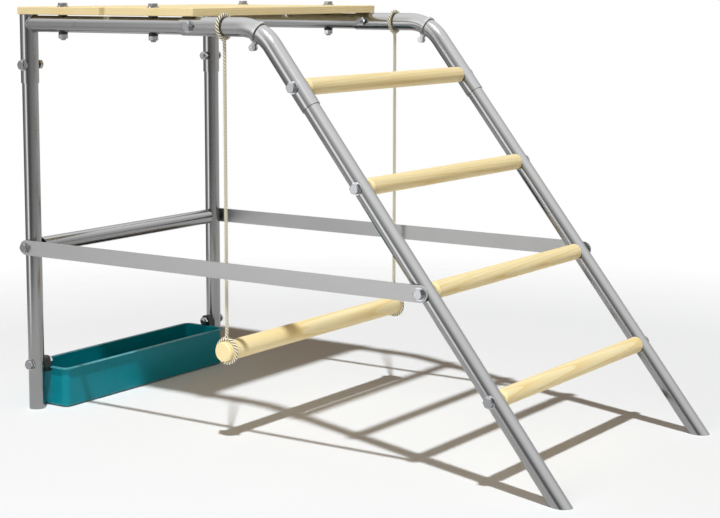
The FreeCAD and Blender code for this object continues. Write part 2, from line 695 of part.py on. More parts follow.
def make_trough_hangers():
    """Black saddle blocks on the posts that hold the trough's end lips in a slot."""
    body = new_body("trough_hanger")
    rim = "trough_lift + trough_height"
    top = f"{rim} + trough_bolt_rise + hanger_crest"
    face = new_sketch(body, "XZ")
    draw_polygon(face, [("hanger_width / 2", f"{rim} - hanger_drop"), ("hanger_width / 2", rim),
                        ("hanger_crest_width / 2", top), ("-hanger_crest_width / 2", top),
                        ("-hanger_width / 2", rim), ("-hanger_width / 2", f"{rim} - hanger_drop")])
    pad(body, face, "2 * hanger_back", symmetric=True)
    crest = RIM_Z + size.trough_bolt_rise + size.hanger_crest
    dress(body, "Fillet", lambda edge: is_level(edge, crest) and edge.BoundBox.YLength > 1,
          "hanger_crest_round")
    back_half = new_sketch(body, "YZ")
    draw_polygon(back_half, [("-hanger_back - 1", None), ("hanger_front", None),
                             ("hanger_front", f"{top} + 1"), ("-hanger_back - 1", f"{top} + 1")])
    pocket(body, back_half)
    slot = new_sketch(body, "YZ")
    near = "trough_end_gap - hanger_play"
    draw_polygon(slot, [(near, f"{rim} - lip_thickness - hanger_play"),
                        ("hanger_back + 1", f"{rim} - lip_thickness - hanger_play"),
                        ("hanger_back + 1", f"{rim} + hanger_play"), (near, f"{rim} + hanger_play")])
    pocket(body, slot)
    drill(body, "XY", [(None, None)], "pole_outer")
    drill(body, "XZ", [(None, f"{rim} + trough_bolt_rise")])
    places = [Placement(Vector(POST_X, out(side), 0), Rotation(UPRIGHT, 0 if side < 0 else 180))
              for side in SIDES.values()]
    group("trough_hangers", body, places)


# ------------------------------------------------------------------------------------------- swing


def make_swing_bar():
    """The dowel that hangs in the ropes' lower loops."""
    body = new_body("swing_bar")
    outline = new_sketch(body, "XY")
    draw_circle(outline, "swing_outer")
    pad(body, outline, "frame_width + 2 * swing_overhang", symmetric=True)
    rim = math.pi * size.swing_outer
    dress(body, "Chamfer", lambda edge: abs(edge.Length - rim) < 0.01, "swing_chamfer")
    body.Placement = Placement(Vector(ROPE_X, 0, size.swing_height), ALONG_Y)
    keep(body)


def make_ropes():
    """Each rope: a loop round the elbow's level leg, and a straight hang with a loop round the bar.

    The straight part turns about the lowest point of the rail loop's middle line, and starts a
    little below the loop, so that the two stay clear of each other over the whole swing.
    """
    rail_loop = "(sleeve_outer / 2 + rope_play + rope_outer / 2)"
    bar_loop = "((swing_outer + rope_outer) / 2 + swing_play)"
    hang = f"rail_height - {rail_loop} - rope_outer / 2 - swing_play - swing_height - {bar_loop}"
    for name, side in SIDES.items():
        eye = primitive("Torus", f"{name}_rope_eye", Radius1=rail_loop, Radius2="rope_outer / 2")
        eye.Placement = Placement(Vector(ROPE_X, out(side), size.rail_height), ALONG_X)
        eye.Label = f"{name}_rope_eye"
        keep(eye)
        straight = primitive("Cylinder", f"{name}_rope_hang", Radius="rope_outer / 2", Height=hang)
        straight.setExpression("Placement.Base.z", bound(bar_loop))
        loop = primitive("Torus", f"{name}_rope_loop", Radius1=bar_loop, Radius2="rope_outer / 2")
        loop.Placement = Placement(Vector(0, 0, 0), ALONG_Y)
        rope = joined(f"{name}_rope", [straight, loop])
        rope.Placement = Placement(Vector(ROPE_X, out(side), size.swing_height), Rotation())
        rope.Label = f"{name}_rope"
        keep(rope)


# ------------------------------------------------------------------------------------- stop clamps


def make_stop_clamps():
    """Ring clamps at the middle of the bends, their lugs on the bend's inner side."""
    bore = "(sleeve_outer + 2 * clamp_play)"
    lug_middle = "sleeve_outer / 2 + clamp_lug_reach"
    band = primitive("Cylinder", "clamp_disc", Radius=f"{bore} / 2 + clamp_wall", Height="clamp_band")
    neck = primitive("Box", "clamp_neck", Length=lug_middle, Width="clamp_lug_width", Height="clamp_band")
    neck.setExpression("Placement.Base.y", bound("-clamp_lug_width / 2"))
    nose = primitive("Cylinder", "clamp_nose", Radius="clamp_lug_round", Height="clamp_lug_width")
    nose.Placement = Placement(Vector(SLEEVE_RADIUS + size.clamp_lug_reach, -size.clamp_lug_width / 2,
                                      size.clamp_band / 2), ALONG_Y)
    hole = primitive("Cylinder", "clamp_bore", Radius=f"{bore} / 2", Height="2 * clamp_band")
    hole.setExpression("Placement.Base.z", bound("-clamp_band / 2"))
    slot = primitive("Box", "clamp_gap", Length="sleeve_outer + clamp_lug_reach", Width="clamp_slot",
                     Height="4 * clamp_lug_round")
    slot.setExpression("Placement.Base.y", bound("-clamp_slot / 2"))
    slot.setExpression("Placement.Base.z", bound("clamp_band / 2 - 2 * clamp_lug_round"))
    pin_hole = primitive("Cylinder", "clamp_pin_hole", Radius="clamp_screw / 2",
                         Height="2 * clamp_lug_width")
    pin_hole.Placement = Placement(Vector(SLEEVE_RADIUS + size.clamp_lug_reach, -size.clamp_lug_width,
                                          size.clamp_band / 2), ALONG_Y)
    clamp = removed("stop_clamp", joined("clamp_solid", [band, neck, nose]),
                    joined("clamp_tools", [hole, slot, pin_hole]))
    screw = primitive("Cylinder", "clamp_screw_pin", Radius="clamp_screw / 2", Height="clamp_lug_width + 2")
    half_turn = SLOPE / 2
    tangent_way = Vector(math.cos(half_turn), 0, -math.sin(half_turn))
    inner_way = Vector(-math.sin(half_turn), 0, -math.cos(half_turn))
    rise = size.bend_radius * (1 / math.cos(half_turn) - 1)
    turn = Rotation(inner_way, tangent_way.cross(inner_way), tangent_way, "ZXY")
    middle = KNEE + inner_way * rise - tangent_way * (size.clamp_band / 2)
    screws = []
    for name, side in SIDES.items():
        ring_place = Placement(Vector(middle.x, out(side), middle.z), turn)
        link = document.addObject("App::Link", f"{name}_clamp_link")
        link.LinkedObject = clamp
        link.Placement = ring_place
        band_node = document.addObject("Part::Compound", f"{name}_stop_clamp")
        band_node.Links = [link]
        band_node.Label = f"{name}_stop_clamp"
        keep(band_node)
        start = KNEE + inner_way * (rise + SLEEVE_RADIUS + size.clamp_lug_reach)
        screw_place = Vector(start.x, out(side) - size.clamp_lug_width / 2 - 1, start.z)
        screws.append(Placement(screw_place, ALONG_Y))
    group("stop_clamp_screws", screw, screws)


# --------------------------------------------------------------------------------------- fasteners


def make_through_bolts():
    """Bolts through the corner sleeves and through the rail ends, with nuts on inner saddles."""
    length = "sleeve_outer + washer_thickness + saddle_thickness + nut_height + nut_tip"
    long_bolt = bolt("sleeve_bolt", length)
    washer = ring("sleeve_washer", "washer_outer", "bolt_hole", "washer_thickness")
    sleeve_nut = nut("sleeve_nut")
    sleeve_saddle = saddle("sleeve_saddle", "sleeve_outer", "saddle_thickness")
    joints = {"corner": (Vector(POST_X, 0, CORNER_BOLT_Z), UPRIGHT),
              "rail": (Vector(RAIL_BOLT_X, 0, size.rail_height), LENGTHWAYS)}
    for name, (point, tube_direction) in joints.items():
        head_seats = cross_bolts([point], SLEEVE_RADIUS + size.washer_thickness)
        group(f"{name}_bolts", long_bolt, head_seats)
        group(f"{name}_washers", washer, head_seats)
        group(f"{name}_nuts", sleeve_nut, cross_bolts([point], -SLEEVE_RADIUS - size.saddle_thickness))
        group(f"{name}_nut_saddles", sleeve_saddle,
              [Placement(Vector(point.x, out(side), point.z), astride(tube_direction, inward(side)))
               for side in SIDES.values()])


def make_plank_bolts():
    """Upright bolts that hold the planks down: on pads above the tubes, with nuts on saddles below."""
    length = ("washer_thickness + plank_thickness + plank_play + sleeve_outer / 2 + pole_outer / 2"
              " + saddle_thickness + nut_height + nut_tip")
    low_face = size.rail_height - POLE_RADIUS - size.saddle_thickness
    head_seats = []
    nut_seats = []
    pad_places = []
    saddle_places = []
    for middle in PLANK_X:
        for side in SIDES.values():
            head_seats.append(Placement(Vector(middle, out(side), PLANK_TOP + size.washer_thickness),
                                        facing(DOWN)))
            nut_seats.append(Placement(Vector(middle, out(side), low_face), facing(DOWN)))
            on_tube = Vector(middle, out(side), size.rail_height)
            pad_places.append(Placement(on_tube, astride(LENGTHWAYS, UPRIGHT)))
            saddle_places.append(Placement(on_tube, astride(LENGTHWAYS, DOWN)))
    group("plank_bolts", bolt("plank_bolt", length), head_seats)
    group("plank_washers", ring("plank_washer", "washer_outer", "bolt_hole", "washer_thickness"), head_seats)
    group("plank_nuts", nut("plank_nut"), nut_seats)
    pad_height = "(sleeve_outer / 2 + plank_play - pole_outer / 2)"
    group("plank_pads", saddle("plank_pad", "pole_outer", pad_height), pad_places)
    group("plank_saddles", saddle("plank_saddle", "pole_outer", "saddle_thickness"), saddle_places)


def make_rung_bolts():
    """Bolts through the stringers into the rungs; the braces share the third rung's."""
    piece = bolt("rung_bolt", "washer_thickness + pole_outer + insert_length - bolt_end_gap")
    washer = ring("rung_washer", "washer_outer", "bolt_hole", "washer_thickness")
    plain = [point for number, point in enumerate(RUNG_POINTS) if number not in (0, BRACE_RUNG)]
    places = cross_bolts(RUNG_POINTS[:1], SLEEVE_RADIUS + size.washer_thickness)
    places += cross_bolts(plain, POLE_RADIUS + size.washer_thickness)
    group("rung_bolts", piece, places)
    group("rung_washers", washer, places)


def make_brace_bolts():
    """Bolts through the braces, their saddles and the tubes, into the crossbar and the third rung."""
    stack = "washer_thickness + brace_thickness + saddle_thickness + pole_outer"
    piece = bolt("brace_bolt", f"{stack} + insert_length - bolt_end_gap")
    washer = ring("brace_washer", "washer_outer", "bolt_hole", "washer_thickness")
    at_post = Vector(POST_X, 0, BRACE_END.z)
    seat = POLE_RADIUS + size.saddle_thickness + size.brace_thickness + size.washer_thickness
    places = cross_bolts([at_post, BRACE_END], seat)
    group("brace_bolts", piece, places)
    group("brace_washers", washer, places)
    brace_saddle = saddle("brace_saddle", "pole_outer", "saddle_thickness")
    outer = [Placement(Vector(point.x, out(side), point.z), astride(tube_direction, inward(-side)))
             for point, tube_direction in ((at_post, UPRIGHT), (BRACE_END, DOWN_LADDER))
             for side in SIDES.values()]
    group("brace_saddles", brace_saddle, outer)
    inner = [Placement(Vector(POST_X, out(side), BRACE_END.z), astride(UPRIGHT, inward(side)))
             for side in SIDES.values()]
    group("crossbar_saddles", brace_saddle, inner)


def make_trough_bolts():
    """Bolts through the posts and the hangers, with nuts on the hangers' inner faces."""
    point = Vector(POST_X, 0, TROUGH_BOLT_Z)
    piece = bolt("trough_bolt", "washer_thickness + pole_outer / 2 + hanger_back + nut_height + nut_tip")
    washer = ring("trough_washer", "washer_outer", "bolt_hole", "washer_thickness")
    head_seats = cross_bolts([point], POLE_RADIUS + size.washer_thickness)
    group("trough_bolts", piece, head_seats)
    group("trough_washers", washer, head_seats)
    group("trough_nuts", nut("trough_nut"), cross_bolts([point], -size.hanger_back))


# ------------------------------------------------------------------------------- checks and export


def check_everything():
    """Stop if any object failed, any cut removed nothing, or any sub-part isn't a valid solid."""
    document.recompute()
    for item in document.Objects:
        if {"Invalid", "Error"} & set(item.State):
            raise RuntimeError(f"{item.Label} failed: {item.State}")
    for label, before, after in cuts:
        if after >= before - 1e-6:
            raise RuntimeError(f"{label} removed nothing")
    for part in nodes:
        if part.Shape.isNull() or not part.Shape.isValid() or not part.Shape.Solids:
            raise RuntimeError(f"{part.Label} isn't a valid solid")


def export_parts():
    """Write each sub-part to a file that its Label names."""
    os.makedirs("parts", exist_ok=True)
    for part in nodes:
        part.Shape.exportStep(os.path.join("parts", f"{part.Label}.step"))


make_posts()
make_corner_fittings()
make_top_rails()
make_elbows()
make_stringers()
make_crossbar()
make_flat_braces()
make_rungs()
make_rung_inserts()
make_planks()
make_trough()
make_trough_hangers()
make_swing_bar()
make_ropes()
make_stop_clamps()
make_through_bolts()
make_plank_bolts()
make_rung_bolts()
make_brace_bolts()
make_trough_bolts()
check_everything()
export_parts()

whole = Part.makeCompound([part.Shape for part in nodes]).BoundBox
print(f"{len(nodes)} sub-parts, box X {whole.XMin:.2f} to {whole.XMax:.2f}, "
      f"Y {whole.YMin:.2f} to {whole.YMax:.2f}, Z {whole.ZMin:.2f} to {whole.ZMax:.2f}")
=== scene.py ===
"""The looks of a low climbing frame: bent steel tube, pine, a plastic trough and a rope swing.

Every length is in metres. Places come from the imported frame's own pieces.
"""

from __future__ import annotations

import json
import logging
import math
from dataclasses import dataclass, field
from enum import Enum
from typing import Callable, Iterable, Sequence

import bmesh
import bpy
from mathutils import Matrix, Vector

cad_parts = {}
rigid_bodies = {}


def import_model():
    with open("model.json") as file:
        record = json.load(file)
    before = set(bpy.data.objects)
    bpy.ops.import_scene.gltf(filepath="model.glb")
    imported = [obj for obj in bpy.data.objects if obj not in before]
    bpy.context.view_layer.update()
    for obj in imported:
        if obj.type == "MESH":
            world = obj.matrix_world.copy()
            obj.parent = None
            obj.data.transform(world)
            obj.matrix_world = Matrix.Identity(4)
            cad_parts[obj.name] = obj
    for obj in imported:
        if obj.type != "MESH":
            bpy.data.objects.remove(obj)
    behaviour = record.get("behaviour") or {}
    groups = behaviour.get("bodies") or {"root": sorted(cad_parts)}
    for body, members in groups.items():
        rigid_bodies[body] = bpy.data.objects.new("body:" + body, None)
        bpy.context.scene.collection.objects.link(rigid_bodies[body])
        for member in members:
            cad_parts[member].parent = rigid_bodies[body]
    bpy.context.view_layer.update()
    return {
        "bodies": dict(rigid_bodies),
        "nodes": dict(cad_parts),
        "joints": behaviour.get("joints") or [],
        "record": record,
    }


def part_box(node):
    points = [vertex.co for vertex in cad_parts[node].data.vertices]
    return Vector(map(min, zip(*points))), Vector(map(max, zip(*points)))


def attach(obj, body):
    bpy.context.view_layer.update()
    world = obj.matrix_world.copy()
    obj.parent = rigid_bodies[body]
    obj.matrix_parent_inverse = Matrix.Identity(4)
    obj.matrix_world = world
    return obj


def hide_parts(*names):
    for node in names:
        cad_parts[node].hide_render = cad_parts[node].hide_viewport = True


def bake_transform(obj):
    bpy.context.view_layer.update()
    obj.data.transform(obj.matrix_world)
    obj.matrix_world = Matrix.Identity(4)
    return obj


LOG = logging.getLogger("climbing_frame")

Colour = tuple[float, float, float]
Node = bpy.types.Node
Output = bpy.types.NodeSocket
Material = bpy.types.Material
Piece = bpy.types.Object

FLOAT = "NodeSocketFloat"
VECTOR = "NodeSocketVector"
GEOMETRY = "NodeSocketGeometry"

SHADER_INPUTS = {
    "colour": "Base Color",
    "roughness": "Roughness",
    "metallic": "Metallic",
    "specular": "Specular IOR Level",
}


class Side(Enum):
    """The frame's two sides, by the sign of their Y."""

    FRONT = -1
    BACK = 1

    @property
    def word(self) -> str:
        """The side's name as the pieces use it."""
        return self.name.lower()


class Axis(Enum):
    """A direction that grain or a brushed finish follows, as the axis number."""

    X = 0
    Y = 1
    Z = 2


# ---- node tools


class NodeTree:
    """A thin layer over a node tree: it adds nodes, sets their sockets and links them."""

    def __init__(self, tree: bpy.types.NodeTree) -> None:
        """Keep the tree."""
        self.tree = tree

    def feed(self, target: Output, value: object) -> None:
        """Give a socket a value, or a link where the value is a socket."""
        if isinstance(value, Output):
            self.tree.links.new(value, target)
        else:
            target.default_value = value

    def give(self, node: Node, inputs: dict[str | int, object]) -> None:
        """Feed a node's inputs, by name or number."""
        for key, value in inputs.items():
            self.feed(node.inputs[key], value)

    def add(self, kind: str, inputs: dict[str | int, object] | None = None, **settings: object) -> Node:
        """Add a node.

        Args:
            kind: The node's type name.
            inputs: What its inputs get: values, or sockets to link.
            settings: Properties to set on it.

        Returns:
            The new node.
        """
        node = self.tree.nodes.new(kind)
        for name, value in settings.items():
            setattr(node, name, value)
        self.give(node, inputs or {})
        return node

    def math(self, operation: str, *values: object, clamp: bool = False) -> Output:
        """Add a Math node and return its output, kept from 0 to 1 if asked."""
        given = dict(enumerate(values))
        return self.add("ShaderNodeMath", given, operation=operation, use_clamp=clamp).outputs[0]


def opaque(colour: object) -> object:
    """A colour with its alpha, or a socket as it is."""
    return (*colour, 1.0) if isinstance(colour, tuple) else colour


class ShaderTree(NodeTree):
    """A shader's node tree, with the nodes that the finishes use most."""

    def vector_math(self, operation: str, *values: object) -> Node:
        """Add a Vector Math node."""
        return self.add("ShaderNodeVectorMath", dict(enumerate(values)), operation=operation)

    def noise(
        self, vector: Output, scale: float | Output, detail: float = 3.0, distortion: float = 0.0
    ) -> Output:
        """Add a noise texture and return its value, from 0 to 1."""
        given = {"Vector": vector, "Scale": scale, "Detail": detail, "Distortion": distortion}
        return self.add("ShaderNodeTexNoise", given).outputs["Fac"]

    def ramp(self, factor: Output, stops: Sequence[tuple[float, Colour]]) -> Output:
        """Add a colour ramp over positions and colours, and return its colour."""
        node = self.add("ShaderNodeValToRGB", {"Fac": factor})
        elements = node.color_ramp.elements
        while len(elements) < len(stops):
            elements.new(0.5)
        for element, (position, colour) in zip(elements, stops):
            element.position = position
            element.color = opaque(colour)
        return node.outputs["Color"]

    def map_range(self, value: Output, low: float, high: float, out_low: float, out_high: float) -> Output:
        """Map a value from one range to another, clamped."""
        given = {"Value": value, "From Min": low, "From Max": high, "To Min": out_low, "To Max": out_high}
        return self.add("ShaderNodeMapRange", given).outputs["Result"]

    def mix(self, factor: Output, first: object, second: object) -> Output:
        """Mix two colours by a factor."""
        given = {0: factor, 6: opaque(first), 7: opaque(second)}
        return self.add("ShaderNodeMix", given, data_type="RGBA").outputs[2]

    def mapping(self, vector: Output, scale: Sequence[float], offset: Sequence[float] = (0, 0, 0)) -> Output:
        """Add a Mapping node and return its vector."""
        given = {"Vector": vector, "Scale": scale, "Location": offset}
        return self.add("ShaderNodeMapping", given).outputs["Vector"]

    def object_coordinates(self) -> Output:
        """The coordinates that go with the piece, which are the frame's at rest."""
        return self.add("ShaderNodeTexCoord").outputs["Object"]

    def bump(self, height: Output, strength: float, distance: float) -> Output:
        """Turn a height into a normal."""
        given = {"Strength": strength, "Distance": distance, "Height": height}
        return self.add("ShaderNodeBump", given).outputs["Normal"]


@dataclass(frozen=True)
class Socket:
    """One named input or output of a node group."""

    name: str
    kind: str
    value: object = None


def open_sockets(tree: bpy.types.NodeTree, way: str, sockets: Sequence[Socket]) -> dict[str, str]:
    """Give a node group its inputs or outputs.

    Args:
        tree: The group's tree.
        way: INPUT or OUTPUT.
        sockets: What to add, in order.

    Returns:
        Each socket's identifier by its name.
    """
    found = {}
    for socket in sockets:
        made = tree.interface.new_socket(socket.name, in_out=way, socket_type=socket.kind)
        if socket.value is not None:
            made.default_value = socket.value
        found[socket.name] = made.identifier
    return found


def socket_name(key: str) -> str:
    """A socket's name from a keyword: _ stands for a space."""
    return key.replace("_", " ").capitalize()


class EffectGroup:
    """A shared shader effect, built once and placed in many materials."""

    def __init__(
        self,
        name: str,
        inputs: Sequence[Socket],
        outputs: Sequence[Socket],
        build: Callable[[ShaderTree, Node, Node], None],
    ) -> None:
        """Make the group's tree and its sockets.

        Args:
            name: The group's name.
            inputs: Its inputs with their usual values.
            outputs: Its outputs.
            build: What fills the tree, from its input and output nodes.
        """
        self.tree = bpy.data.node_groups.new(name, "ShaderNodeTree")
        open_sockets(self.tree, "INPUT", inputs)
        open_sockets(self.tree, "OUTPUT", outputs)
        tree = ShaderTree(self.tree)
        build(tree, tree.add("NodeGroupInput"), tree.add("NodeGroupOutput"))

    def place(self, tree: ShaderTree, **values: object) -> Node:
        """Place the group in a material, with input values by name, and return its node."""
        given = {socket_name(key): value for key, value in values.items()}
        return tree.add("ShaderNodeGroup", given, node_tree=self.tree)


def build_streaks(tree: ShaderTree, given: Node, result: Node) -> None:
    """Fine drawn lines along a tube or bar, and the soft blotches of a zinc coat over them."""
    place = given.outputs["Place"]
    stretched = tree.vector_math("MULTIPLY", place, given.outputs["Line scale"]).outputs[0]
    lines = tree.noise(stretched, 1.0, detail=4.0)
    blotches = tree.noise(place, given.outputs["Blotch scale"], detail=5.0, distortion=0.6)
    both = tree.math("ADD", tree.math("MULTIPLY", lines, 0.8), tree.math("MULTIPLY", blotches, 0.2))
    tree.give(result, {"Mask": both, "Lines": lines})


def build_wear_and_highlight(tree: ShaderTree, given: Node, result: Node) -> None:
    """A mask that is bright on convex edges, broken up by noise: rubbed wear on the plated hardware, and a
    painted highlight along the moulded plastic's edges, such as the trough's rim.
    """
    steepness = 9.0
    pointed = tree.add("ShaderNodeNewGeometry").outputs["Pointiness"]
    over = tree.math("SUBTRACT", pointed, given.outputs["Start"])
    edge = tree.math("MULTIPLY", over, steepness, clamp=True)
    broken = tree.noise(given.outputs["Place"], given.outputs["Break scale"], detail=4.0)
    rubbed_and_highlit = tree.math("MULTIPLY", edge, tree.map_range(broken, 0.35, 0.65, 0.25, 1.0))
    tree.give(result, {"Mask": tree.math("MULTIPLY", rubbed_and_highlit, given.outputs["Amount"], clamp=True)})


def build_speckle(tree: ShaderTree, given: Node, result: Node) -> None:
    """The fine grain of a moulded or dusty surface."""
    place = given.outputs["Place"]
    fine = tree.noise(place, given.outputs["Grain scale"], detail=2.0)
    dust = tree.noise(place, given.outputs["Dust scale"], detail=6.0)
    tree.give(result, {"Grain": fine, "Dust": tree.map_range(dust, 0.5, 0.75, 0.0, 1.0)})


def build_growth_rings(tree: ShaderTree, given: Node, result: Node) -> None:
    """The rings of a tree cut by a piece of wood: bands about a wandering pith line along Z."""
    place = given.outputs["Place"]
    squeezed = tree.mapping(place, (1.0, 1.0, 0.05))
    wander = tree.add("ShaderNodeTexNoise", {"Vector": squeezed, "Scale": 9.0, "Detail": 2.0})
    moved = tree.vector_math("MULTIPLY_ADD", wander.outputs["Color"], (0.02, 0.02, 0.0), place)
    flat = tree.vector_math("MULTIPLY", moved.outputs[0], (1.0, 1.0, 0.0))
    off_pith = tree.vector_math("LENGTH", flat.outputs[0]).outputs["Value"]
    turns = tree.math("DIVIDE", off_pith, given.outputs["Ring width"])
    wobble = tree.math("MULTIPLY", tree.noise(squeezed, 30.0, detail=3.0), 0.9)
    phase = tree.math("FRACT", tree.math("ADD", turns, wobble))
    early = tree.math("POWER", phase, 2.6)
    late = tree.map_range(phase, 0.94, 1.0, 1.0, 0.0)
    fibre = tree.noise(tree.mapping(place, (1.0, 1.0, 0.018)), 900.0, detail=3.0)
    patch = tree.noise(tree.mapping(place, (1.0, 1.0, 0.16)), 14.0, detail=3.0)
    tree.give(result, {"Rings": tree.math("MULTIPLY", early, late), "Fibre": fibre, "Patch": patch})


class Effects:
    """The shared shader effects of this object."""

    def __init__(self) -> None:
        """Build each group once."""
        place = Socket("Place", VECTOR)
        self.streaks = EffectGroup(
            "zinc_streaks",
            [place, Socket("Line scale", VECTOR), Socket("Blotch scale", FLOAT, 30.0)],
            [Socket("Mask", FLOAT), Socket("Lines", FLOAT)],
            build_streaks,
        )
        # Pale convex edges: rubbed wear on the plated hardware, and a painted highlight along the moulded
        # plastic's edges.
        self.wear_and_highlight = EffectGroup(
            "edge_wear_and_highlight",
            [
                place,
                Socket("Break scale", FLOAT, 200.0),
                Socket("Start", FLOAT, 0.58),
                Socket("Amount", FLOAT, 1.0),
            ],
            [Socket("Mask", FLOAT)],
            build_wear_and_highlight,
        )
        self.speckle = EffectGroup(
            "speckle",
            [place, Socket("Grain scale", FLOAT, 2500.0), Socket("Dust scale", FLOAT, 18.0)],
            [Socket("Grain", FLOAT), Socket("Dust", FLOAT)],
            build_speckle,
        )
        self.rings = EffectGroup(
            "growth_rings",
            [place, Socket("Ring width", FLOAT, 0.003)],
            [Socket("Rings", FLOAT), Socket("Fibre", FLOAT), Socket("Patch", FLOAT)],
            build_growth_rings,
        )

# ---- finishes


class Finish:
    """A finish: what makes one material and puts it on a piece."""

    name: str

    def build(self, effects: Effects) -> Material:
        """Make the material. Each finish has its own way.

        Args:
            effects: The shared shader effects.

        Returns:
            The new material.
        """
        raise NotImplementedError

    def start(self) -> tuple[Material, ShaderTree]:
        """Make an empty material and return it with its tree."""
        material = bpy.data.materials.new(self.name)
        material.use_nodes = True
        return material, ShaderTree(material.node_tree)

    def end(self, tree: ShaderTree, relief: Output, **inputs: object) -> None:
        """Feed the main shader what SHADER_INPUTS names, and give it its relief."""
        shader = next(n for n in tree.tree.nodes if n.type == "BSDF_PRINCIPLED")
        tree.give(shader, {SHADER_INPUTS[key]: value for key, value in inputs.items()})
        tree.feed(shader.inputs["Normal"], relief)

    def material(self, effects: Effects) -> Material:
        """The finish's material, made at its first use."""
        found = bpy.data.materials.get(self.name)
        return found if found is not None else self.build(effects)

    def dress(self, pieces: Iterable[Piece], effects: Effects) -> None:
        """Put the material on pieces in place of what they have."""
        for piece in pieces:
            piece.data.materials.clear()
            piece.data.materials.append(self.material(effects))


@dataclass(frozen=True)
class DrawnSteel(Finish):
    """Zinc-coated steel with lines drawn along it and soft grey blotches."""

    name: str
    along: Axis
    dark: Colour = (0.285, 0.285, 0.287)
    light: Colour = (0.325, 0.325, 0.327)
    rough: tuple[float, float] = (0.15, 0.19)
    bump: float = 0.003
    across_lines: float = 700.0
    along_lines: float = 2.0
    blotches: float = 9.0
    tilt: float = 0.0

    def build(self, effects: Effects) -> Material:
        """Make the steel, its lines stretched along its own axis."""
        material, tree = self.start()
        place = tree.object_coordinates()
        if self.tilt:
            turned = {"Vector": place, "Rotation": (0.0, self.tilt, 0.0)}
            place = tree.add("ShaderNodeMapping", turned).outputs["Vector"]
        scale = [self.across_lines] * 3
        scale[self.along.value] = self.along_lines
        streaks = effects.streaks.place(tree, place=place, line_scale=scale, blotch_scale=self.blotches)
        mask = streaks.outputs["Mask"]
        self.end(
            tree,
            tree.bump(streaks.outputs["Lines"], self.bump, 0.0004),
            colour=tree.mix(mask, self.dark, self.light),
            roughness=tree.map_range(mask, 0.3, 0.7, *self.rough),
            metallic=1.0,
        )
        return material


@dataclass(frozen=True)
class PlatedSteel(Finish):
    """Bright zinc plating on bolts, nuts and washers: bluish, with pale rubbed edges."""

    name: str = "zinc_plating"
    colour: Colour = (0.32, 0.325, 0.34)
    warm: Colour = (0.34, 0.33, 0.315)
    edge: Colour = (0.8, 0.81, 0.83)
    rough: tuple[float, float] = (0.1, 0.2)

    def build(self, effects: Effects) -> Material:
        """Make the plating."""
        material, tree = self.start()
        place = tree.object_coordinates()
        speckle = effects.speckle.place(tree, place=place, grain_scale=1400.0, dust_scale=90.0)
        wear_and_highlight = effects.wear_and_highlight.place(tree, place=place, break_scale=700.0, amount=1.0)
        tint = tree.mix(speckle.outputs["Dust"], self.colour, self.warm)
        self.end(
            tree,
            tree.bump(speckle.outputs["Grain"], 0.03, 0.0001),
            colour=tree.mix(wear_and_highlight.outputs["Mask"], tint, self.edge),
            roughness=tree.map_range(speckle.outputs["Grain"], 0.3, 0.7, *self.rough),
            metallic=1.0,
        )
        return material


@dataclass(frozen=True)
class WeldMetal(Finish):
    """Zinc-sprayed weld: paler and rougher than the drawn tube."""

    name: str = "weld_bead"
    colour: Colour = (0.3, 0.3, 0.31)
    warm: Colour = (0.2, 0.19, 0.18)
    rough: tuple[float, float] = (0.36, 0.6)

    def build(self, effects: Effects) -> Material:
        """Make the weld's rough metal."""
        material, tree = self.start()
        place = tree.object_coordinates()
        speckle = effects.speckle.place(tree, place=place, grain_scale=1800.0, dust_scale=220.0)
        self.end(
            tree,
            tree.bump(speckle.outputs["Grain"], 0.25, 0.0003),
            colour=tree.mix(speckle.outputs["Dust"], self.colour, self.warm),
            roughness=tree.map_range(speckle.outputs["Grain"], 0.3, 0.7, *self.rough),
            metallic=1.0,
        )
        return material


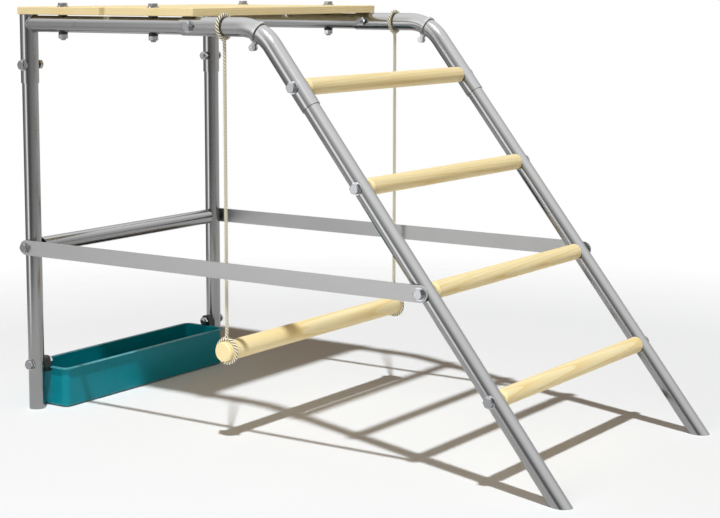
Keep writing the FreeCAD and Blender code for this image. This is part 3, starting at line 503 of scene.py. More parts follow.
@dataclass(frozen=True)
class Pine(Finish):
    """Clear pine cut from a log whose pith runs beside the piece."""

    name: str
    along: Axis
    pith: tuple[float, float, float]
    tilt: tuple[float, float, float] = (0.0, 0.0, 0.0)
    ring_width: float = 0.0032
    pale: Colour = (0.93, 0.81, 0.50)
    gold: Colour = (0.80, 0.57, 0.21)
    amber: Colour = (0.56, 0.33, 0.115)
    knots: float = 0.0

    def build(self, effects: Effects) -> Material:
        """Make the wood: rings about the pith line, fibre, soft patches and the odd knot."""
        material, tree = self.start()
        quarter = math.pi / 2
        to_axis = {Axis.X: (0.0, quarter, 0.0), Axis.Y: (quarter, 0.0, 0.0), Axis.Z: (0.0, 0.0, 0.0)}
        rotation = [base + extra for base, extra in zip(to_axis[self.along], self.tilt)]
        turned = {"Vector": tree.object_coordinates(), "Location": self.pith, "Rotation": rotation}
        place = tree.add("ShaderNodeMapping", turned, vector_type="TEXTURE").outputs["Vector"]
        grain = effects.rings.place(tree, place=place, ring_width=self.ring_width)
        rings, fibre, patch = grain.outputs["Rings"], grain.outputs["Fibre"], grain.outputs["Patch"]
        wood = tree.mix(tree.math("MULTIPLY", rings, 0.85), self.pale, self.gold)
        wood = tree.mix(tree.map_range(fibre, 0.42, 0.72, 0.0, 0.4), wood, self.gold)
        wood = tree.mix(tree.map_range(patch, 0.5, 0.78, 0.0, 0.42), wood, self.gold)
        if self.knots:
            wood = self.add_knots(tree, place, wood)
        height = tree.math("ADD", fibre, tree.math("MULTIPLY", rings, 0.5))
        self.end(
            tree,
            tree.bump(height, 0.2, 0.0005),
            colour=wood,
            roughness=tree.map_range(rings, 0.0, 1.0, 0.62, 0.46),
            specular=0.16,
        )
        return material

    def add_knots(self, tree: ShaderTree, place: Output, wood: Output) -> Output:
        """Darken soft ovals where branches grew.

        Args:
            tree: The material's tree.
            place: The wood's own coordinates.
            wood: The colour so far.

        Returns:
            The colour with knots.
        """
        squeezed = tree.mapping(place, (1.0, 1.0, 0.45), (0.31, 0.17, 0.53))
        given = {"Vector": squeezed, "Scale": self.knots}
        cells = tree.add("ShaderNodeTexVoronoi", given, feature="F1")
        near = tree.map_range(cells.outputs["Distance"], 0.03, 0.13, 1.0, 0.0)
        wobble = tree.noise(place, 220.0, detail=2.0)
        soft = tree.math("MULTIPLY", near, tree.map_range(wobble, 0.3, 0.7, 0.35, 0.9))
        return tree.mix(soft, wood, self.amber)


@dataclass(frozen=True)
class MouldedPlastic(Finish):
    """Moulded plastic with a fine grain, a little sheen and pale convex edges, which are a painted highlight
    along its rims.
    """

    name: str
    colour: Colour
    deep: Colour
    # edge: the colour of the painted highlight on convex edges and rims.
    edge: Colour
    rough: tuple[float, float]
    gloss: float
    edge_amount: float = 0.7
    edge_start: float = 0.56

    def build(self, effects: Effects) -> Material:
        """Make the plastic."""
        material, tree = self.start()
        place = tree.object_coordinates()
        speckle = effects.speckle.place(tree, place=place, grain_scale=2600.0, dust_scale=22.0)
        wear_and_highlight = effects.wear_and_highlight.place(
            tree, place=place, break_scale=90.0, start=self.edge_start, amount=self.edge_amount
        )
        body = tree.mix(speckle.outputs["Dust"], self.colour, self.deep)
        self.end(
            tree,
            tree.bump(speckle.outputs["Grain"], 0.04, 0.0002),
            # The pale edge colour is a painted highlight along the convex edges and rims.
            colour=tree.mix(wear_and_highlight.outputs["Mask"], body, self.edge),
            roughness=tree.map_range(speckle.outputs["Dust"], 0.0, 1.0, *self.rough),
            specular=self.gloss,
        )
        return material


@dataclass(frozen=True)
class TwistedFibre(Finish):
    """Laid cotton or hemp: cream fibre that follows each strand, with painted shade where each strand turns
    into the grooves between strands.
    """

    name: str = "laid_rope"
    cream: Colour = (0.98, 0.95, 0.80)
    straw: Colour = (0.93, 0.87, 0.66)
    # The groove colour is painted shade for the grooves between strands.
    groove_shade: Colour = (0.11, 0.075, 0.02)

    def build(self, effects: Effects) -> Material:
        """Make the fibre from the strands' own map: U round the strand, V along it."""
        material, tree = self.start()
        strand = tree.add("ShaderNodeUVMap", uv_map="strand").outputs["UV"]
        fibres = tree.noise(tree.mapping(strand, (34.0, 2.5, 1.0)), 1.0, detail=3.0)
        tone = tree.noise(tree.object_coordinates(), 160.0, detail=3.0)
        body = tree.mix(tree.map_range(fibres, 0.35, 0.75, 0.0, 0.75), self.cream, self.straw)
        body = tree.mix(tree.map_range(tone, 0.4, 0.7, 0.0, 0.3), body, self.straw)
        # Painted shade: darken each strand towards the groove colour where it turns into the grooves.
        depth = tree.add("ShaderNodeAttribute", attribute_name="groove_shade").outputs["Fac"]
        body = tree.mix(tree.map_range(depth, 0.12, 0.22, 0.0, 1.0), body, self.groove_shade)
        self.end(tree, tree.bump(fibres, 0.45, 0.0004), colour=body, roughness=0.86, specular=0.2)
        return material


# ---- mesh helpers


def new_piece(name: str, mesh: bpy.types.Mesh) -> Piece:
    """Link a new object at the origin for a mesh that is already in place."""
    mesh.name = name
    piece = bpy.data.objects.new(name, mesh)
    bpy.context.scene.collection.objects.link(piece)
    return piece


def smooth(mesh: bpy.types.Mesh) -> None:
    """Shade every face of a mesh smooth."""
    mesh.polygons.foreach_set("use_smooth", [True] * len(mesh.polygons))
    mesh.update()


def middle(node: str) -> Vector:
    """The middle of a frame node's box."""
    low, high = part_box(node)
    return (low + high) / 2


def mid_range(points: Sequence[Vector], axis: Axis) -> float:
    """Half way between the lowest and the highest of the points, along an axis."""
    along = [point[axis.value] for point in points]
    return (min(along) + max(along)) / 2


def islands(node: Piece) -> list[list[Vector]]:
    """The separate solids of a frame node.

    Args:
        node: The node's object.

    Returns:
        Each solid's points.
    """
    mesh = bmesh.new()
    mesh.from_mesh(node.data)
    bmesh.ops.remove_doubles(mesh, verts=mesh.verts, dist=1e-6)
    mesh.verts.ensure_lookup_table()
    seen: set[int] = set()
    found = []
    for start in mesh.verts:
        if start.index in seen:
            continue
        seen.add(start.index)
        todo = [start]
        points = []
        while todo:
            vertex = todo.pop()
            points.append(vertex.co.copy())
            for edge in vertex.link_edges:
                other = edge.other_vert(vertex)
                if other.index not in seen:
                    seen.add(other.index)
                    todo.append(other)
        found.append(points)
    mesh.free()
    return found


# ---- geometry node builders


class GeometryTree(NodeTree):
    """A geometry node tree built in the script, with named inputs for its sizes."""

    def __init__(self, name: str, inputs: Sequence[Socket]) -> None:
        """Make the tree with its named inputs."""
        super().__init__(bpy.data.node_groups.new(name, "GeometryNodeTree"))
        geometry = Socket("Geometry", GEOMETRY)
        self.identifiers = open_sockets(self.tree, "INPUT", [geometry, *inputs])
        open_sockets(self.tree, "OUTPUT", [geometry])
        self.given = self.add("NodeGroupInput").outputs

    def end(self, instances: Output, material: Material) -> None:
        """Realise the instances, set the material and shade smooth."""
        real = self.add("GeometryNodeRealizeInstances", {0: instances})
        shade = self.add("GeometryNodeSetShadeSmooth", {"Geometry": real.outputs[0]})
        given = {"Geometry": shade.outputs["Geometry"], "Material": material}
        paint = self.add("GeometryNodeSetMaterial", given)
        self.add("NodeGroupOutput", {"Geometry": paint.outputs["Geometry"]})

    def run(self, name: str, points: Sequence[Vector], material: Material, **values: float) -> Piece:
        """Run the tree on points and keep the result as a plain mesh.

        Args:
            name: The new piece's name.
            points: Where the tree puts its shapes.
            material: The result's material.
            values: The tree's inputs by name, with _ for a space.

        Returns:
            The new piece.
        """
        mesh = bpy.data.meshes.new(name + "_points")
        mesh.from_pydata([tuple(point) for point in points], [], [])
        holder = bpy.data.objects.new(name + "_points", mesh)
        bpy.context.scene.collection.objects.link(holder)
        modifier = holder.modifiers.new("shapes", "NODES")
        modifier.node_group = self.tree
        for key, value in values.items():
            modifier[self.identifiers[socket_name(key)]] = value
        bpy.context.view_layer.update()
        evaluated = holder.evaluated_get(bpy.context.evaluated_depsgraph_get())
        made = bpy.data.meshes.new_from_object(evaluated)
        holder.modifiers.clear()
        bpy.data.objects.remove(holder)
        made.materials.clear()
        made.materials.append(material)
        return new_piece(name, made)


def build_thread_tree(material: Material) -> GeometryTree:
    """Thread turns round the end of a bolt: a spiral with a small ridge section, at each point.

    Args:
        material: The turns' material.

    Returns:
        The tree; its points carry no direction, so one run makes the turns of one axis.
    """
    names = ("Radius", "Pitch", "Turns", "Ridge", "Turn x")
    tree = GeometryTree("bolt_threads", [Socket(name, FLOAT, 0.0) for name in names])
    given = tree.given
    path = {
        "Resolution": 20,
        "Rotations": given["Turns"],
        "Start Radius": given["Radius"],
        "End Radius": given["Radius"],
        "Height": tree.math("MULTIPLY", given["Turns"], given["Pitch"]),
    }
    spiral = tree.add("GeometryNodeCurveSpiral", path)
    ridge = tree.add("GeometryNodeCurvePrimitiveCircle", {"Resolution": 4, "Radius": given["Ridge"]})
    swept = {"Curve": spiral.outputs[0], "Profile Curve": ridge.outputs[0], "Fill Caps": True}
    sweep = tree.add("GeometryNodeCurveToMesh", swept)
    turn = tree.add("ShaderNodeCombineXYZ", {"X": given["Turn x"]})
    placed = {
        "Points": given["Geometry"],
        "Instance": sweep.outputs["Mesh"],
        "Rotation": turn.outputs[0],
    }
    place = tree.add("GeometryNodeInstanceOnPoints", placed)
    tree.end(place.outputs["Instances"], material)
    return tree


def build_weld_tree(material: Material) -> GeometryTree:
    """A weld bead where a level tube meets an upright one: overlapping drops along their seam.

    Args:
        material: The bead's material.

    Returns:
        The tree; it puts one bead at each point, for a level tube along +X.
    """
    sizes = [Socket(name, FLOAT, 0.0) for name in ("Arm radius", "Post radius", "Bead")]
    tree = GeometryTree("weld_bead", [*sizes, Socket("Drops", FLOAT, 76.0)])
    given = tree.given
    round_arm = {"Resolution": given["Drops"], "Radius": given["Arm radius"]}
    circle = tree.add("GeometryNodeCurvePrimitiveCircle", round_arm)
    where = tree.add("ShaderNodeSeparateXYZ", {0: tree.add("GeometryNodeInputPosition").outputs[0]})
    post_square = tree.math("MULTIPLY", given["Post radius"], given["Post radius"])
    across_square = tree.math("MULTIPLY", where.outputs["Y"], where.outputs["Y"])
    reach = tree.math("SQRT", tree.math("SUBTRACT", post_square, across_square))
    on_post = {"X": reach, "Y": where.outputs["Y"], "Z": where.outputs["X"]}
    seam = tree.add("ShaderNodeCombineXYZ", on_post)
    bent = {"Geometry": circle.outputs["Curve"], "Position": seam.outputs[0]}
    bend = tree.add("GeometryNodeSetPosition", bent)
    drops = tree.add("GeometryNodeCurveToPoints", {"Curve": bend.outputs["Geometry"]}, mode="EVALUATED")
    drop = tree.add("GeometryNodeMeshIcoSphere", {"Subdivisions": 2, "Radius": given["Bead"]})
    shape = {0: (0.85, 0.85, 0.5), 1: (1.12, 1.12, 0.7), "Seed": 7}
    uneven = tree.add("FunctionNodeRandomValue", shape, data_type="FLOAT_VECTOR")
    scattered = {
        "Points": drops.outputs["Points"],
        "Instance": drop.outputs["Mesh"],
        "Rotation": drops.outputs["Rotation"],
        "Scale": uneven.outputs[0],
    }
    scatter = tree.add("GeometryNodeInstanceOnPoints", scattered)
    placed = {"Points": given["Geometry"], "Instance": scatter.outputs["Instances"]}
    beads = tree.add("GeometryNodeInstanceOnPoints", placed)
    tree.end(beads.outputs["Instances"], material)
    return tree


# ---- ropes


@dataclass
class Route:
    """A rope's middle line: a smooth spline of the second order through chosen control points."""

    points: list[Vector]

    def line(self) -> list[Vector]:
        """The spline's own points, as the curve's mesh gives them."""
        curve = bpy.data.curves.new("route", "CURVE")
        curve.dimensions = "3D"
        spline = curve.splines.new("NURBS")
        spline.points.add(len(self.points) - 1)
        for point, place in zip(spline.points, self.points):
            point.co = (*place, 1.0)
        spline.order_u = 3
        spline.use_endpoint_u = True
        spline.resolution_u = 24
        holder = bpy.data.objects.new("route", curve)
        mesh = bpy.data.meshes.new_from_object(holder)
        line = [vertex.co.copy() for vertex in mesh.vertices]
        bpy.data.meshes.remove(mesh)
        bpy.data.objects.remove(holder)
        bpy.data.curves.remove(curve)
        return line


def evenly(line: Sequence[Vector], step: float) -> list[Vector]:
    """The line again with points a step apart.

    Args:
        line: The points to follow.
        step: The spacing wanted.

    Returns:
        The new points.
    """
    reach = [0.0]
    for before, after in zip(line, line[1:]):
        reach.append(reach[-1] + (after - before).length)
    count = max(2, round(reach[-1] / step) + 1)
    made = []
    at = 0
    for number in range(count):
        wanted = reach[-1] * number / (count - 1)
        while at < len(reach) - 2 and reach[at + 1] < wanted:
            at += 1
        share = (wanted - reach[at]) / max(reach[at + 1] - reach[at], 1e-12)
        made.append(line[at].lerp(line[at + 1], min(1.0, share)))
    return made


def carried_frames(line: Sequence[Vector]) -> list[tuple[Vector, Vector]]:
    """Two directions across the line at each point, carried along it without twist."""
    tangents = []
    for number in range(len(line)):
        before = line[max(0, number - 1)]
        after = line[min(len(line) - 1, number + 1)]
        tangents.append((after - before).normalized())
    side = tangents[0].orthogonal().normalized()
    frames = []
    for number, tangent in enumerate(tangents):
        if number:
            side = tangents[number - 1].rotation_difference(tangent) @ side
        side = (side - tangent * side.dot(tangent)).normalized()
        frames.append((side, tangent.cross(side)))
    return frames


@dataclass
class Rope:
    """A laid rope of three strands that go round its middle line."""

    name: str
    route: Route
    diameter: float = 0.007
    lay_length: float = 0.0184
    strands: int = 3
    sides: int = 12
    steps_per_lay: int = 14
    pressed: float = 1.06
    line: list[Vector] = field(default_factory=list)

    @property
    def length(self) -> float:
        """The length of the middle line."""
        return sum((after - before).length for before, after in zip(self.line, self.line[1:]))

    def build(self) -> Piece:
        """Make the rope as one mesh, with a map round and along each strand.

        Returns:
            The rope's object.
        """
        self.line = evenly(self.route.line(), self.lay_length / self.steps_per_lay)
        frames = carried_frames(self.line)
        lean = math.sin(math.pi / self.strands)
        strand_radius = self.diameter / 2 * lean / (1 + lean) * self.pressed
        helix_radius = self.diameter / 2 - strand_radius
        mesh = bmesh.new()
        uv = mesh.loops.layers.uv.new("strand")
        # A weight per vertex, 0 on a strand's crown and 1 where it faces the rope's middle, from which the
        # fibre material paints shade in the grooves.
        groove_shade = mesh.verts.layers.float.new("groove_shade")
        hand = -1  # a left-handed lay
        for strand in range(self.strands):
            rings = []
            start = 2 * math.pi * strand / self.strands
            for number, (point, (side, up)) in enumerate(zip(self.line, frames)):
                turn = start + hand * 2 * math.pi * number / self.steps_per_lay
                outward = side * math.cos(turn) + up * math.sin(turn)
                ring_middle = point + outward * helix_radius
                tangent = side.cross(up)
                pitch_slope = 2 * math.pi * helix_radius / self.lay_length
                around = tangent.cross(outward) * hand
                along = (tangent + around * pitch_slope).normalized()
                across = along.cross(outward).normalized()
                ring = []
                for step in range(self.sides):
                    angle = 2 * math.pi * step / self.sides
                    offset = outward * math.cos(angle) + across * math.sin(angle)
                    vertex = mesh.verts.new(ring_middle + offset * strand_radius)
                    vertex[groove_shade] = (1 - math.cos(angle)) / 2
                    ring.append(vertex)
                rings.append(ring)
            self.skin(mesh, uv, rings)
        mesh.normal_update()
        made = bpy.data.meshes.new(self.name)
        mesh.to_mesh(made)
        mesh.free()
        smooth(made)
        return new_piece(self.name, made)

    def skin(self, mesh: bmesh.types.BMesh, uv: object, rings: list[list[bmesh.types.BMVert]]) -> None:
        """Join a strand's rings with faces, close its ends and lay its map."""
        sides = self.sides
        step_length = self.lay_length / self.steps_per_lay
        for number, (low, high) in enumerate(zip(rings, rings[1:])):
            for step in range(sides):
                after = (step + 1) % sides
                face = mesh.faces.new((low[step], low[after], high[after], high[step]))
                v_low = number * step_length / self.diameter
                v_high = (number + 1) * step_length / self.diameter
                corners = ((step, v_low), (step + 1, v_low), (step + 1, v_high), (step, v_high))
                for loop, (u, v) in zip(face.loops, corners):
                    loop[uv].uv = (u / sides, v)
        mesh.faces.new(list(reversed(rings[0])))
        mesh.faces.new(rings[-1])


# ---- the assembly


@dataclass
class SubAssembly:
    """A part of the frame: what it holds, and how its pieces are dressed and added to."""

    frame: dict
    effects: Effects

    def nodes(self, *names: str) -> list[Piece]:
        """The frame's own pieces of these names."""
        return [self.frame["nodes"][name] for name in names]

    def pair(self, name: str) -> list[Piece]:
        """The front and the back piece of this name."""
        return self.nodes(*(f"{side.word}_{name}" for side in Side))

    def report(self, pieces: Iterable[Piece]) -> None:
        """Log each piece with its number of faces."""
        for piece in pieces:
            LOG.info("%s: %d faces", piece.name, len(piece.data.polygons))

    def dress(self, finish: Finish, pieces: Sequence[Piece]) -> None:
        """Put a finish on pieces and log them."""
        finish.dress(pieces, self.effects)
        self.report(pieces)

    def build(self) -> None:
        """Dress the sub-assembly's pieces and make its new ones."""
        raise NotImplementedError


@dataclass
class TubeFrame(SubAssembly):
    """The posts, corner fittings, rails, elbows, stringers, braces and clamps."""

    ladder_slope: float = math.radians(51.7)
    arm_radius: float = 0.016
    sleeve_radius: float = 0.0178
    bead_radius: float = 0.0019

    def build(self) -> None:
        """Dress every tube along its own axis and lay the corner welds."""
        upright = DrawnSteel("upright_tube", Axis.Z)
        level = DrawnSteel("level_tube", Axis.X)
        cross = DrawnSteel("cross_tube", Axis.Y)
        sloped = DrawnSteel("sloped_tube", Axis.X, tilt=-self.ladder_slope)
        bent = DrawnSteel("bent_sleeve", Axis.X, across_lines=260.0, along_lines=40.0, bump=0.006)
        flat = DrawnSteel(
            "flat_brace", Axis.X, dark=(0.36, 0.36, 0.36), light=(0.39, 0.39, 0.39), rough=(0.36, 0.42)
        )
        clamp = DrawnSteel("clamp_band", Axis.Y, dark=(0.3, 0.3, 0.3), light=(0.38, 0.38, 0.385))
        self.dress(upright, self.pair("post") + self.pair("corner_fitting"))
        self.dress(level, self.pair("top_rail"))
        self.dress(bent, self.pair("elbow"))
        self.dress(sloped, self.pair("stringer"))
        self.dress(cross, self.nodes("post_crossbar", "crossbar_plugs"))
        self.dress(flat, self.pair("flat_brace"))
        self.dress(clamp, self.pair("stop_clamp"))
        self.report([self.corner_welds()])

    def corner_welds(self) -> Piece:
        """The weld beads between each corner sleeve and its arm."""
        material = WeldMetal().material(self.effects)
        points = []
        for side in Side:
            post = middle(f"{side.word}_post")
            rail = middle(f"{side.word}_top_rail")
            points.append(Vector((post.x, post.y, rail.z)))
        beads = build_weld_tree(material).run(
            "corner_weld_beads",
            points,
            material,
            arm_radius=self.arm_radius,
            post_radius=self.sleeve_radius,
            bead=self.bead_radius,
        )
        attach(beads, "root")
        return beads

@dataclass
class Hardware(SubAssembly):
    """Bolts, nuts, washers and their black saddles, with thread turns on the open ends."""

    shank_radius: float = 0.005
    thread_pitch: float = 0.0015
    turns: float = 1.35
    ridge: float = 0.00055
    tip: float = 0.0012

    def build(self) -> None:
        """Dress the hardware and cut the threads that show past the nuts."""
        black = MouldedPlastic(
            "black_nylon",
            colour=(0.008, 0.008, 0.009),
            deep=(0.013, 0.013, 0.014),
            edge=(0.05, 0.05, 0.05),
            rough=(0.3, 0.5),
            gloss=0.3,
        )
        names = sorted(self.frame["nodes"])
        metal = [n for n in names if n.endswith(("_bolts", "_washers", "_nuts", "_screws", "_inserts"))]
        soft = [n for n in names if n.endswith(("_saddles", "_pads", "_hangers"))]
        self.dress(PlatedSteel(), self.nodes(*metal))
        self.dress(black, self.nodes(*soft))
        level = self.threads("bolt_end_threads", self.level_starts(), math.pi / 2)
        upright = self.threads("plank_bolt_threads", self.upright_starts(), 0.0)
        self.report([level, upright])

    def threads(self, name: str, points: Sequence[Vector], turn_x: float) -> Piece:
        """The thread turns at each point, turned about X, as a piece that rides on the frame."""
        material = PlatedSteel().material(self.effects)
        made = build_thread_tree(material).run(
            name,
            points,
            material,
            radius=self.shank_radius,
            pitch=self.thread_pitch,
            turns=self.turns,
            ridge=self.ridge,
            turn_x=turn_x,
        )
        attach(made, "root")
        return made

    def level_starts(self) -> list[Vector]:
        """Where the turns start on the bolts that lie across the frame, with their tips inwards."""
        run = self.turns * self.thread_pitch
        points = []
        for name in ("corner_bolts", "rail_bolts", "trough_bolts"):
            for solid in islands(self.frame["nodes"][name]):
                near_tip = min(abs(point.y) for point in solid) + self.tip
                start = near_tip + run if solid[0].y > 0 else -near_tip
                points.append(Vector((mid_range(solid, Axis.X), start, mid_range(solid, Axis.Z))))
        return points

    def upright_starts(self) -> list[Vector]:
        """Where the turns start on the plank bolts, which point down."""
        points = []
        for solid in islands(self.frame["nodes"]["plank_bolts"]):
            low = min(point.z for point in solid)
            points.append(Vector((mid_range(solid, Axis.X), mid_range(solid, Axis.Y), low + self.tip)))
        return points


@dataclass
class Woodwork(SubAssembly):
    """The rungs, the planks and the swing bar, each cut from its own part of a log."""

    rungs: int = 4
    planks: int = 2
    rung_turn: float = 0.9
    bar_turn: float = 2.4
    sway: float = math.radians(1.2)

    def build(self) -> None:
        """Give each piece of wood its own grain."""
        for number in range(1, self.rungs + 1):
            self.dowel(f"rung_{number}", self.rung_turn * number, 0.022, 0.0036)
        self.dowel("swing_bar", self.bar_turn, 0.005, 0.0048, knots=5.0)
        for number in range(1, self.planks + 1):
            self.plank(f"platform_plank_{number}", number)

    def dowel(self, name: str, turn: float, reach: float, ring_width: float, knots: float = 0.0) -> None:
        """Dress a round piece whose pith runs beside it.

        Args:
            name: The frame's piece.
            turn: Which way from its axis the pith lies.
            reach: How far off the pith lies.
            ring_width: How far apart its growth rings are.
            knots: How close together its knots are, or 0.
        """
        pith = middle(name) + Vector((math.cos(turn), 0.0, math.sin(turn))) * reach
        lean = (0.0, 0.0, self.sway * math.sin(3 * turn))
        finish = Pine(f"pine_{name}", Axis.Y, tuple(pith), lean, ring_width, knots=knots)
        self.dress(finish, self.nodes(name))

    def plank(self, name: str, number: int) -> None:
        """Dress a flat-sawn plank whose pith lies well below it."""
        pith = middle(name) + Vector((0.03 * number, 0.0, -0.11 - 0.02 * number))
        lean = (math.radians(0.9), 0.0, math.radians(0.8) * number)
        finish = Pine(f"pine_{name}", Axis.Y, tuple(pith), lean, ring_width=0.0042, knots=3.0)
        self.dress(finish, self.nodes(name))


@dataclass
class Trough(SubAssembly):
    """The teal trough."""

    def build(self) -> None:
        """Dress the trough in its moulded plastic."""
        teal = MouldedPlastic(
            "teal_polymer",
            colour=(0.002, 0.200, 0.245),
            deep=(0.002, 0.176, 0.216),
            # The pale cyan edge colour is a painted highlight along the trough's rim.
            edge=(0.34, 0.76, 0.78),
            rough=(0.3, 0.38),
            edge_amount=1.0,
            edge_start=0.505,
            gloss=0.16,
        )
        self.dress(teal, self.nodes("trough"))


@dataclass
class Swing(SubAssembly):
    """Two laid ropes from the elbows down to the swing bar."""

    diameter: float = 0.007
    rail_loop: float = 0.0215
    bar_loop: float = 0.0223
    tuck: float = 0.003
    overlap: float = math.radians(24)
    straight_lead: float = 0.042
    blend_above: float = 0.003
    blend_below: float = 0.0185

    def loop(self, centre: Vector, radius: float, across: Vector, up: Vector) -> list[Vector]:
        """Control points round a tube: in from the open side, round it, and back.

        Args:
            centre: The tube's middle.
            radius: The loop's middle line.
            across: A direction across the loop.
            up: The direction away from where the rope comes and goes.

        Returns:
            The points, from the tail to the point where the rope leaves.
        """
        corners = 8
        half_step = math.pi / corners
        around = [(radius, -self.overlap), (radius, 0.0)]
        around += [(radius / math.cos(half_step), half_step * (2 * n + 1)) for n in range(corners)]
        points = []
        for reach, angle in around:
            points.append(centre + across * (reach * math.sin(angle)) - up * (reach * math.cos(angle)))
        points.append(centre - up * (radius + self.tuck / 2) - across * (self.tuck / 2))
        points.append(centre - up * (radius + 3 * self.tuck))
        return points

    def route(self, side: Side) -> Route:
        """The rope's control points: round the elbow, straight down, and round the bar."""
        bar = middle("swing_bar")
        rail = middle(f"{side.word}_rope_eye")
        top = Vector((bar.x, rail.y, rail.z))
        low = Vector((bar.x, rail.y, bar.z))
        down = Vector((0, 0, -1))
        points = self.loop(top, self.rail_loop, Vector((0, 1, 0)), Vector((0, 0, 1)))
        points.append(top + down * (self.rail_loop + self.straight_lead))
        points.append(low - down * (self.bar_loop + self.straight_lead))
        points += reversed(self.loop(low, self.bar_loop, Vector((1, 0, 0)), down))
        return Route(points)

    def build(self) -> None:
        """Lay both ropes round the elbows and the bar, in place of the frame's rope eyes and ropes, which
        are hidden.
        """
        fibre = TwistedFibre()
        for side in Side:
            rope = Rope(f"{side.word}_laid_rope", self.route(side), self.diameter)
            piece = rope.build()
            self.dress(fibre, [piece])
            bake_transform(piece)
            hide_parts(f"{side.word}_rope_eye", f"{side.word}_rope")
            round(rope.length, 3)
            LOG.info("%s is %.3f m long", piece.name, rope.length)


# ---- studio


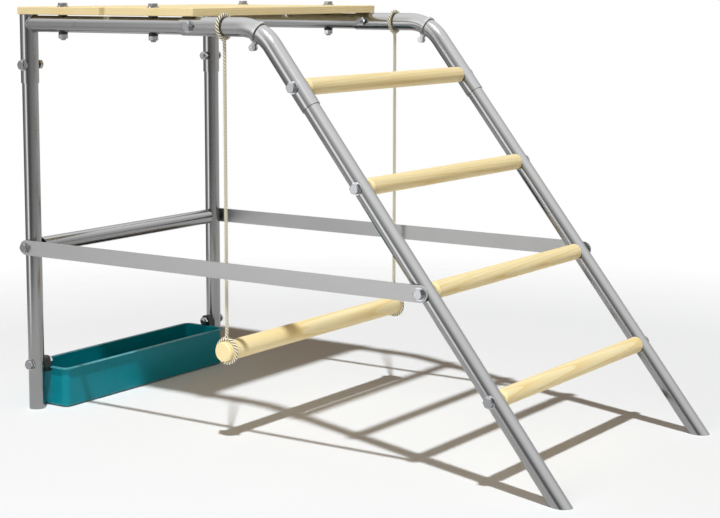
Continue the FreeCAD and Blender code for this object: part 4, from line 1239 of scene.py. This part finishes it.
@dataclass
class Studio:
    """The camera, the pale floor and the light."""

    camera_place: tuple[float, float, float] = (1.8688, -2.7455, 0.8463)
    camera_yaw: float = math.radians(34.555)
    camera_pitch: float = math.radians(7.133)
    focal_length: float = 86.07
    lens_shift: tuple[float, float] = (0.0256, -0.0785)
    sensor: float = 36.0
    sun_travel: tuple[float, float, float] = (-0.266, 0.367, -1.0)
    sun_strength: float = 3.04
    sun_angle: float = math.radians(2.3)
    sun_colour: Colour = (0.905, 0.95, 0.985)
    fill: Colour = (0.14, 0.105, 0.076)
    overhead: float = 1.95
    front_power: float = 44.0
    front_size: tuple[float, float] = (2.4, 1.4)
    front_place: tuple[float, float, float] = (1.1, -3.2, 1.0)
    floor_albedo: float = 0.86
    floor_reach: float = 2.2
    floor_fade: float = 1.15
    floor_sides: int = 96
    aim_height: float = 0.4

    def build(self) -> None:
        """Set up everything that isn't the object."""
        scene = bpy.context.scene
        scene.view_settings.view_transform = "Standard"
        self.add_camera(scene)
        self.add_floor()
        self.add_sun()
        self.add_front_panel()
        self.add_world(scene)

    def add_camera(self, scene: bpy.types.Scene) -> None:
        """Make the camera."""
        data = bpy.data.cameras.new("camera")
        data.sensor_width = self.sensor
        data.lens = self.focal_length
        data.shift_x, data.shift_y = self.lens_shift
        data.clip_start = 0.05
        data.clip_end = 50.0
        camera = bpy.data.objects.new("camera", data)
        camera.location = self.camera_place
        camera.rotation_euler = (math.pi / 2 - self.camera_pitch, 0.0, self.camera_yaw)
        scene.collection.objects.link(camera)
        scene.camera = camera

    def add_floor(self) -> None:
        """Make a round pale floor that fades out into the backdrop."""
        mesh = bmesh.new()
        bmesh.ops.create_circle(mesh, cap_ends=True, segments=self.floor_sides, radius=self.floor_reach)
        data = bpy.data.meshes.new("studio_floor")
        mesh.to_mesh(data)
        mesh.free()
        floor = new_piece("studio_floor", data)
        material = bpy.data.materials.new("pale_floor")
        material.use_nodes = True
        material.node_tree.nodes.clear()
        tree = ShaderTree(material.node_tree)
        place = tree.object_coordinates()
        out = tree.vector_math("LENGTH", place).outputs["Value"]
        gone = tree.map_range(out, self.floor_fade, self.floor_reach * 0.95, 0.0, 1.0)
        soft = tree.map_range(tree.noise(place, 900.0, detail=2.0), 0.3, 0.7, 0.985, 1.0)
        white = tree.mix(soft, (0.0, 0.0, 0.0), (self.floor_albedo,) * 3)
        matt = tree.add("ShaderNodeBsdfDiffuse", {"Color": white}).outputs[0]
        clear = tree.add("ShaderNodeBsdfTransparent").outputs[0]
        both = tree.add("ShaderNodeMixShader", {0: gone, 1: matt, 2: clear}).outputs[0]
        tree.add("ShaderNodeOutputMaterial", {"Surface": both})
        data.materials.append(material)

    def add_light(self, data: bpy.types.Light, travel: Vector, place: Sequence[float]) -> Piece:
        """Put a light at a place, shining along a direction."""
        light = bpy.data.objects.new(data.name, data)
        light.location = place
        light.rotation_mode = "QUATERNION"
        light.rotation_quaternion = travel.to_track_quat("-Z", "Y")
        bpy.context.scene.collection.objects.link(light)
        return light

    def add_sun(self) -> None:
        """Make the key light, high on the camera's side."""
        data = bpy.data.lights.new("key_light", "SUN")
        data.energy = self.sun_strength
        data.angle = self.sun_angle
        data.color = self.sun_colour
        self.add_light(data, Vector(self.sun_travel), (0.0, 0.0, 0.0))

    def add_front_panel(self) -> None:
        """Make a broad soft panel at the front, for the upright faces."""
        data = bpy.data.lights.new("front_panel", "AREA")
        data.shape = "RECTANGLE"
        data.size, data.size_y = self.front_size
        data.energy = self.front_power
        travel = Vector((0.0, 0.0, self.aim_height)) - Vector(self.front_place)
        self.add_light(data, travel, self.front_place).visible_glossy = False

    def add_world(self, scene: bpy.types.Scene) -> None:
        """Make the backdrop: white to look at, a warm dim fill, and soft panels to reflect."""
        world = bpy.data.worlds.new("studio")
        world.use_nodes = True
        world.node_tree.nodes.clear()
        scene.world = world
        tree = ShaderTree(world.node_tree)
        direction = tree.add("ShaderNodeTexCoord").outputs["Generated"]
        parts = tree.add("ShaderNodeSeparateXYZ", {0: direction}).outputs
        azimuth = tree.math("ARCTAN2", parts["X"], tree.math("MULTIPLY", parts["Y"], -1.0))
        turn = tree.map_range(azimuth, -math.pi, math.pi, 0.0, 1.0)
        panels = tree.ramp(turn, [(at, (level,) * 3) for at, level in self.panel_levels()])
        height = tree.map_range(parts["Z"], 0.25, 0.8, 0.0, 1.0)
        seen = tree.mix(height, panels, (self.overhead,) * 3)
        light = tree.add("ShaderNodeLightPath").outputs
        lit = tree.mix(light["Is Glossy Ray"], self.fill, seen)
        final = tree.mix(light["Is Camera Ray"], lit, (1.0, 1.0, 1.0))
        background = tree.add("ShaderNodeBackground", {"Color": final}).outputs[0]
        tree.add("ShaderNodeOutputWorld", {"Surface": background})

    @staticmethod
    def panel_levels() -> list[tuple[float, float]]:
        """How bright the room is round the horizon, by azimuth in degrees from the front."""
        levels = [
            (-180, 0.8), (-150, 0.55), (-110, 0.22), (-90, 0.22), (-65, 0.45), (-41, 0.7),
            (-31, 2.5), (-21, 2.5), (-10, 0.5), (12, 0.15), (32, 0.28), (50, 0.4), (80, 0.54),
            (110, 0.7), (140, 0.85), (180, 0.8),
        ]
        return [((degrees + 180) / 360, level) for degrees, level in levels]


def main() -> None:
    """Load the frame, dress it, and set up the studio."""
    logging.basicConfig(level=logging.INFO, format="%(message)s")
    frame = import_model()
    Studio().build()
    effects = Effects()
    for assembly in (TubeFrame, Hardware, Woodwork, Trough, Swing):
        assembly(frame, effects).build()


if __name__ == "__main__":
    main()
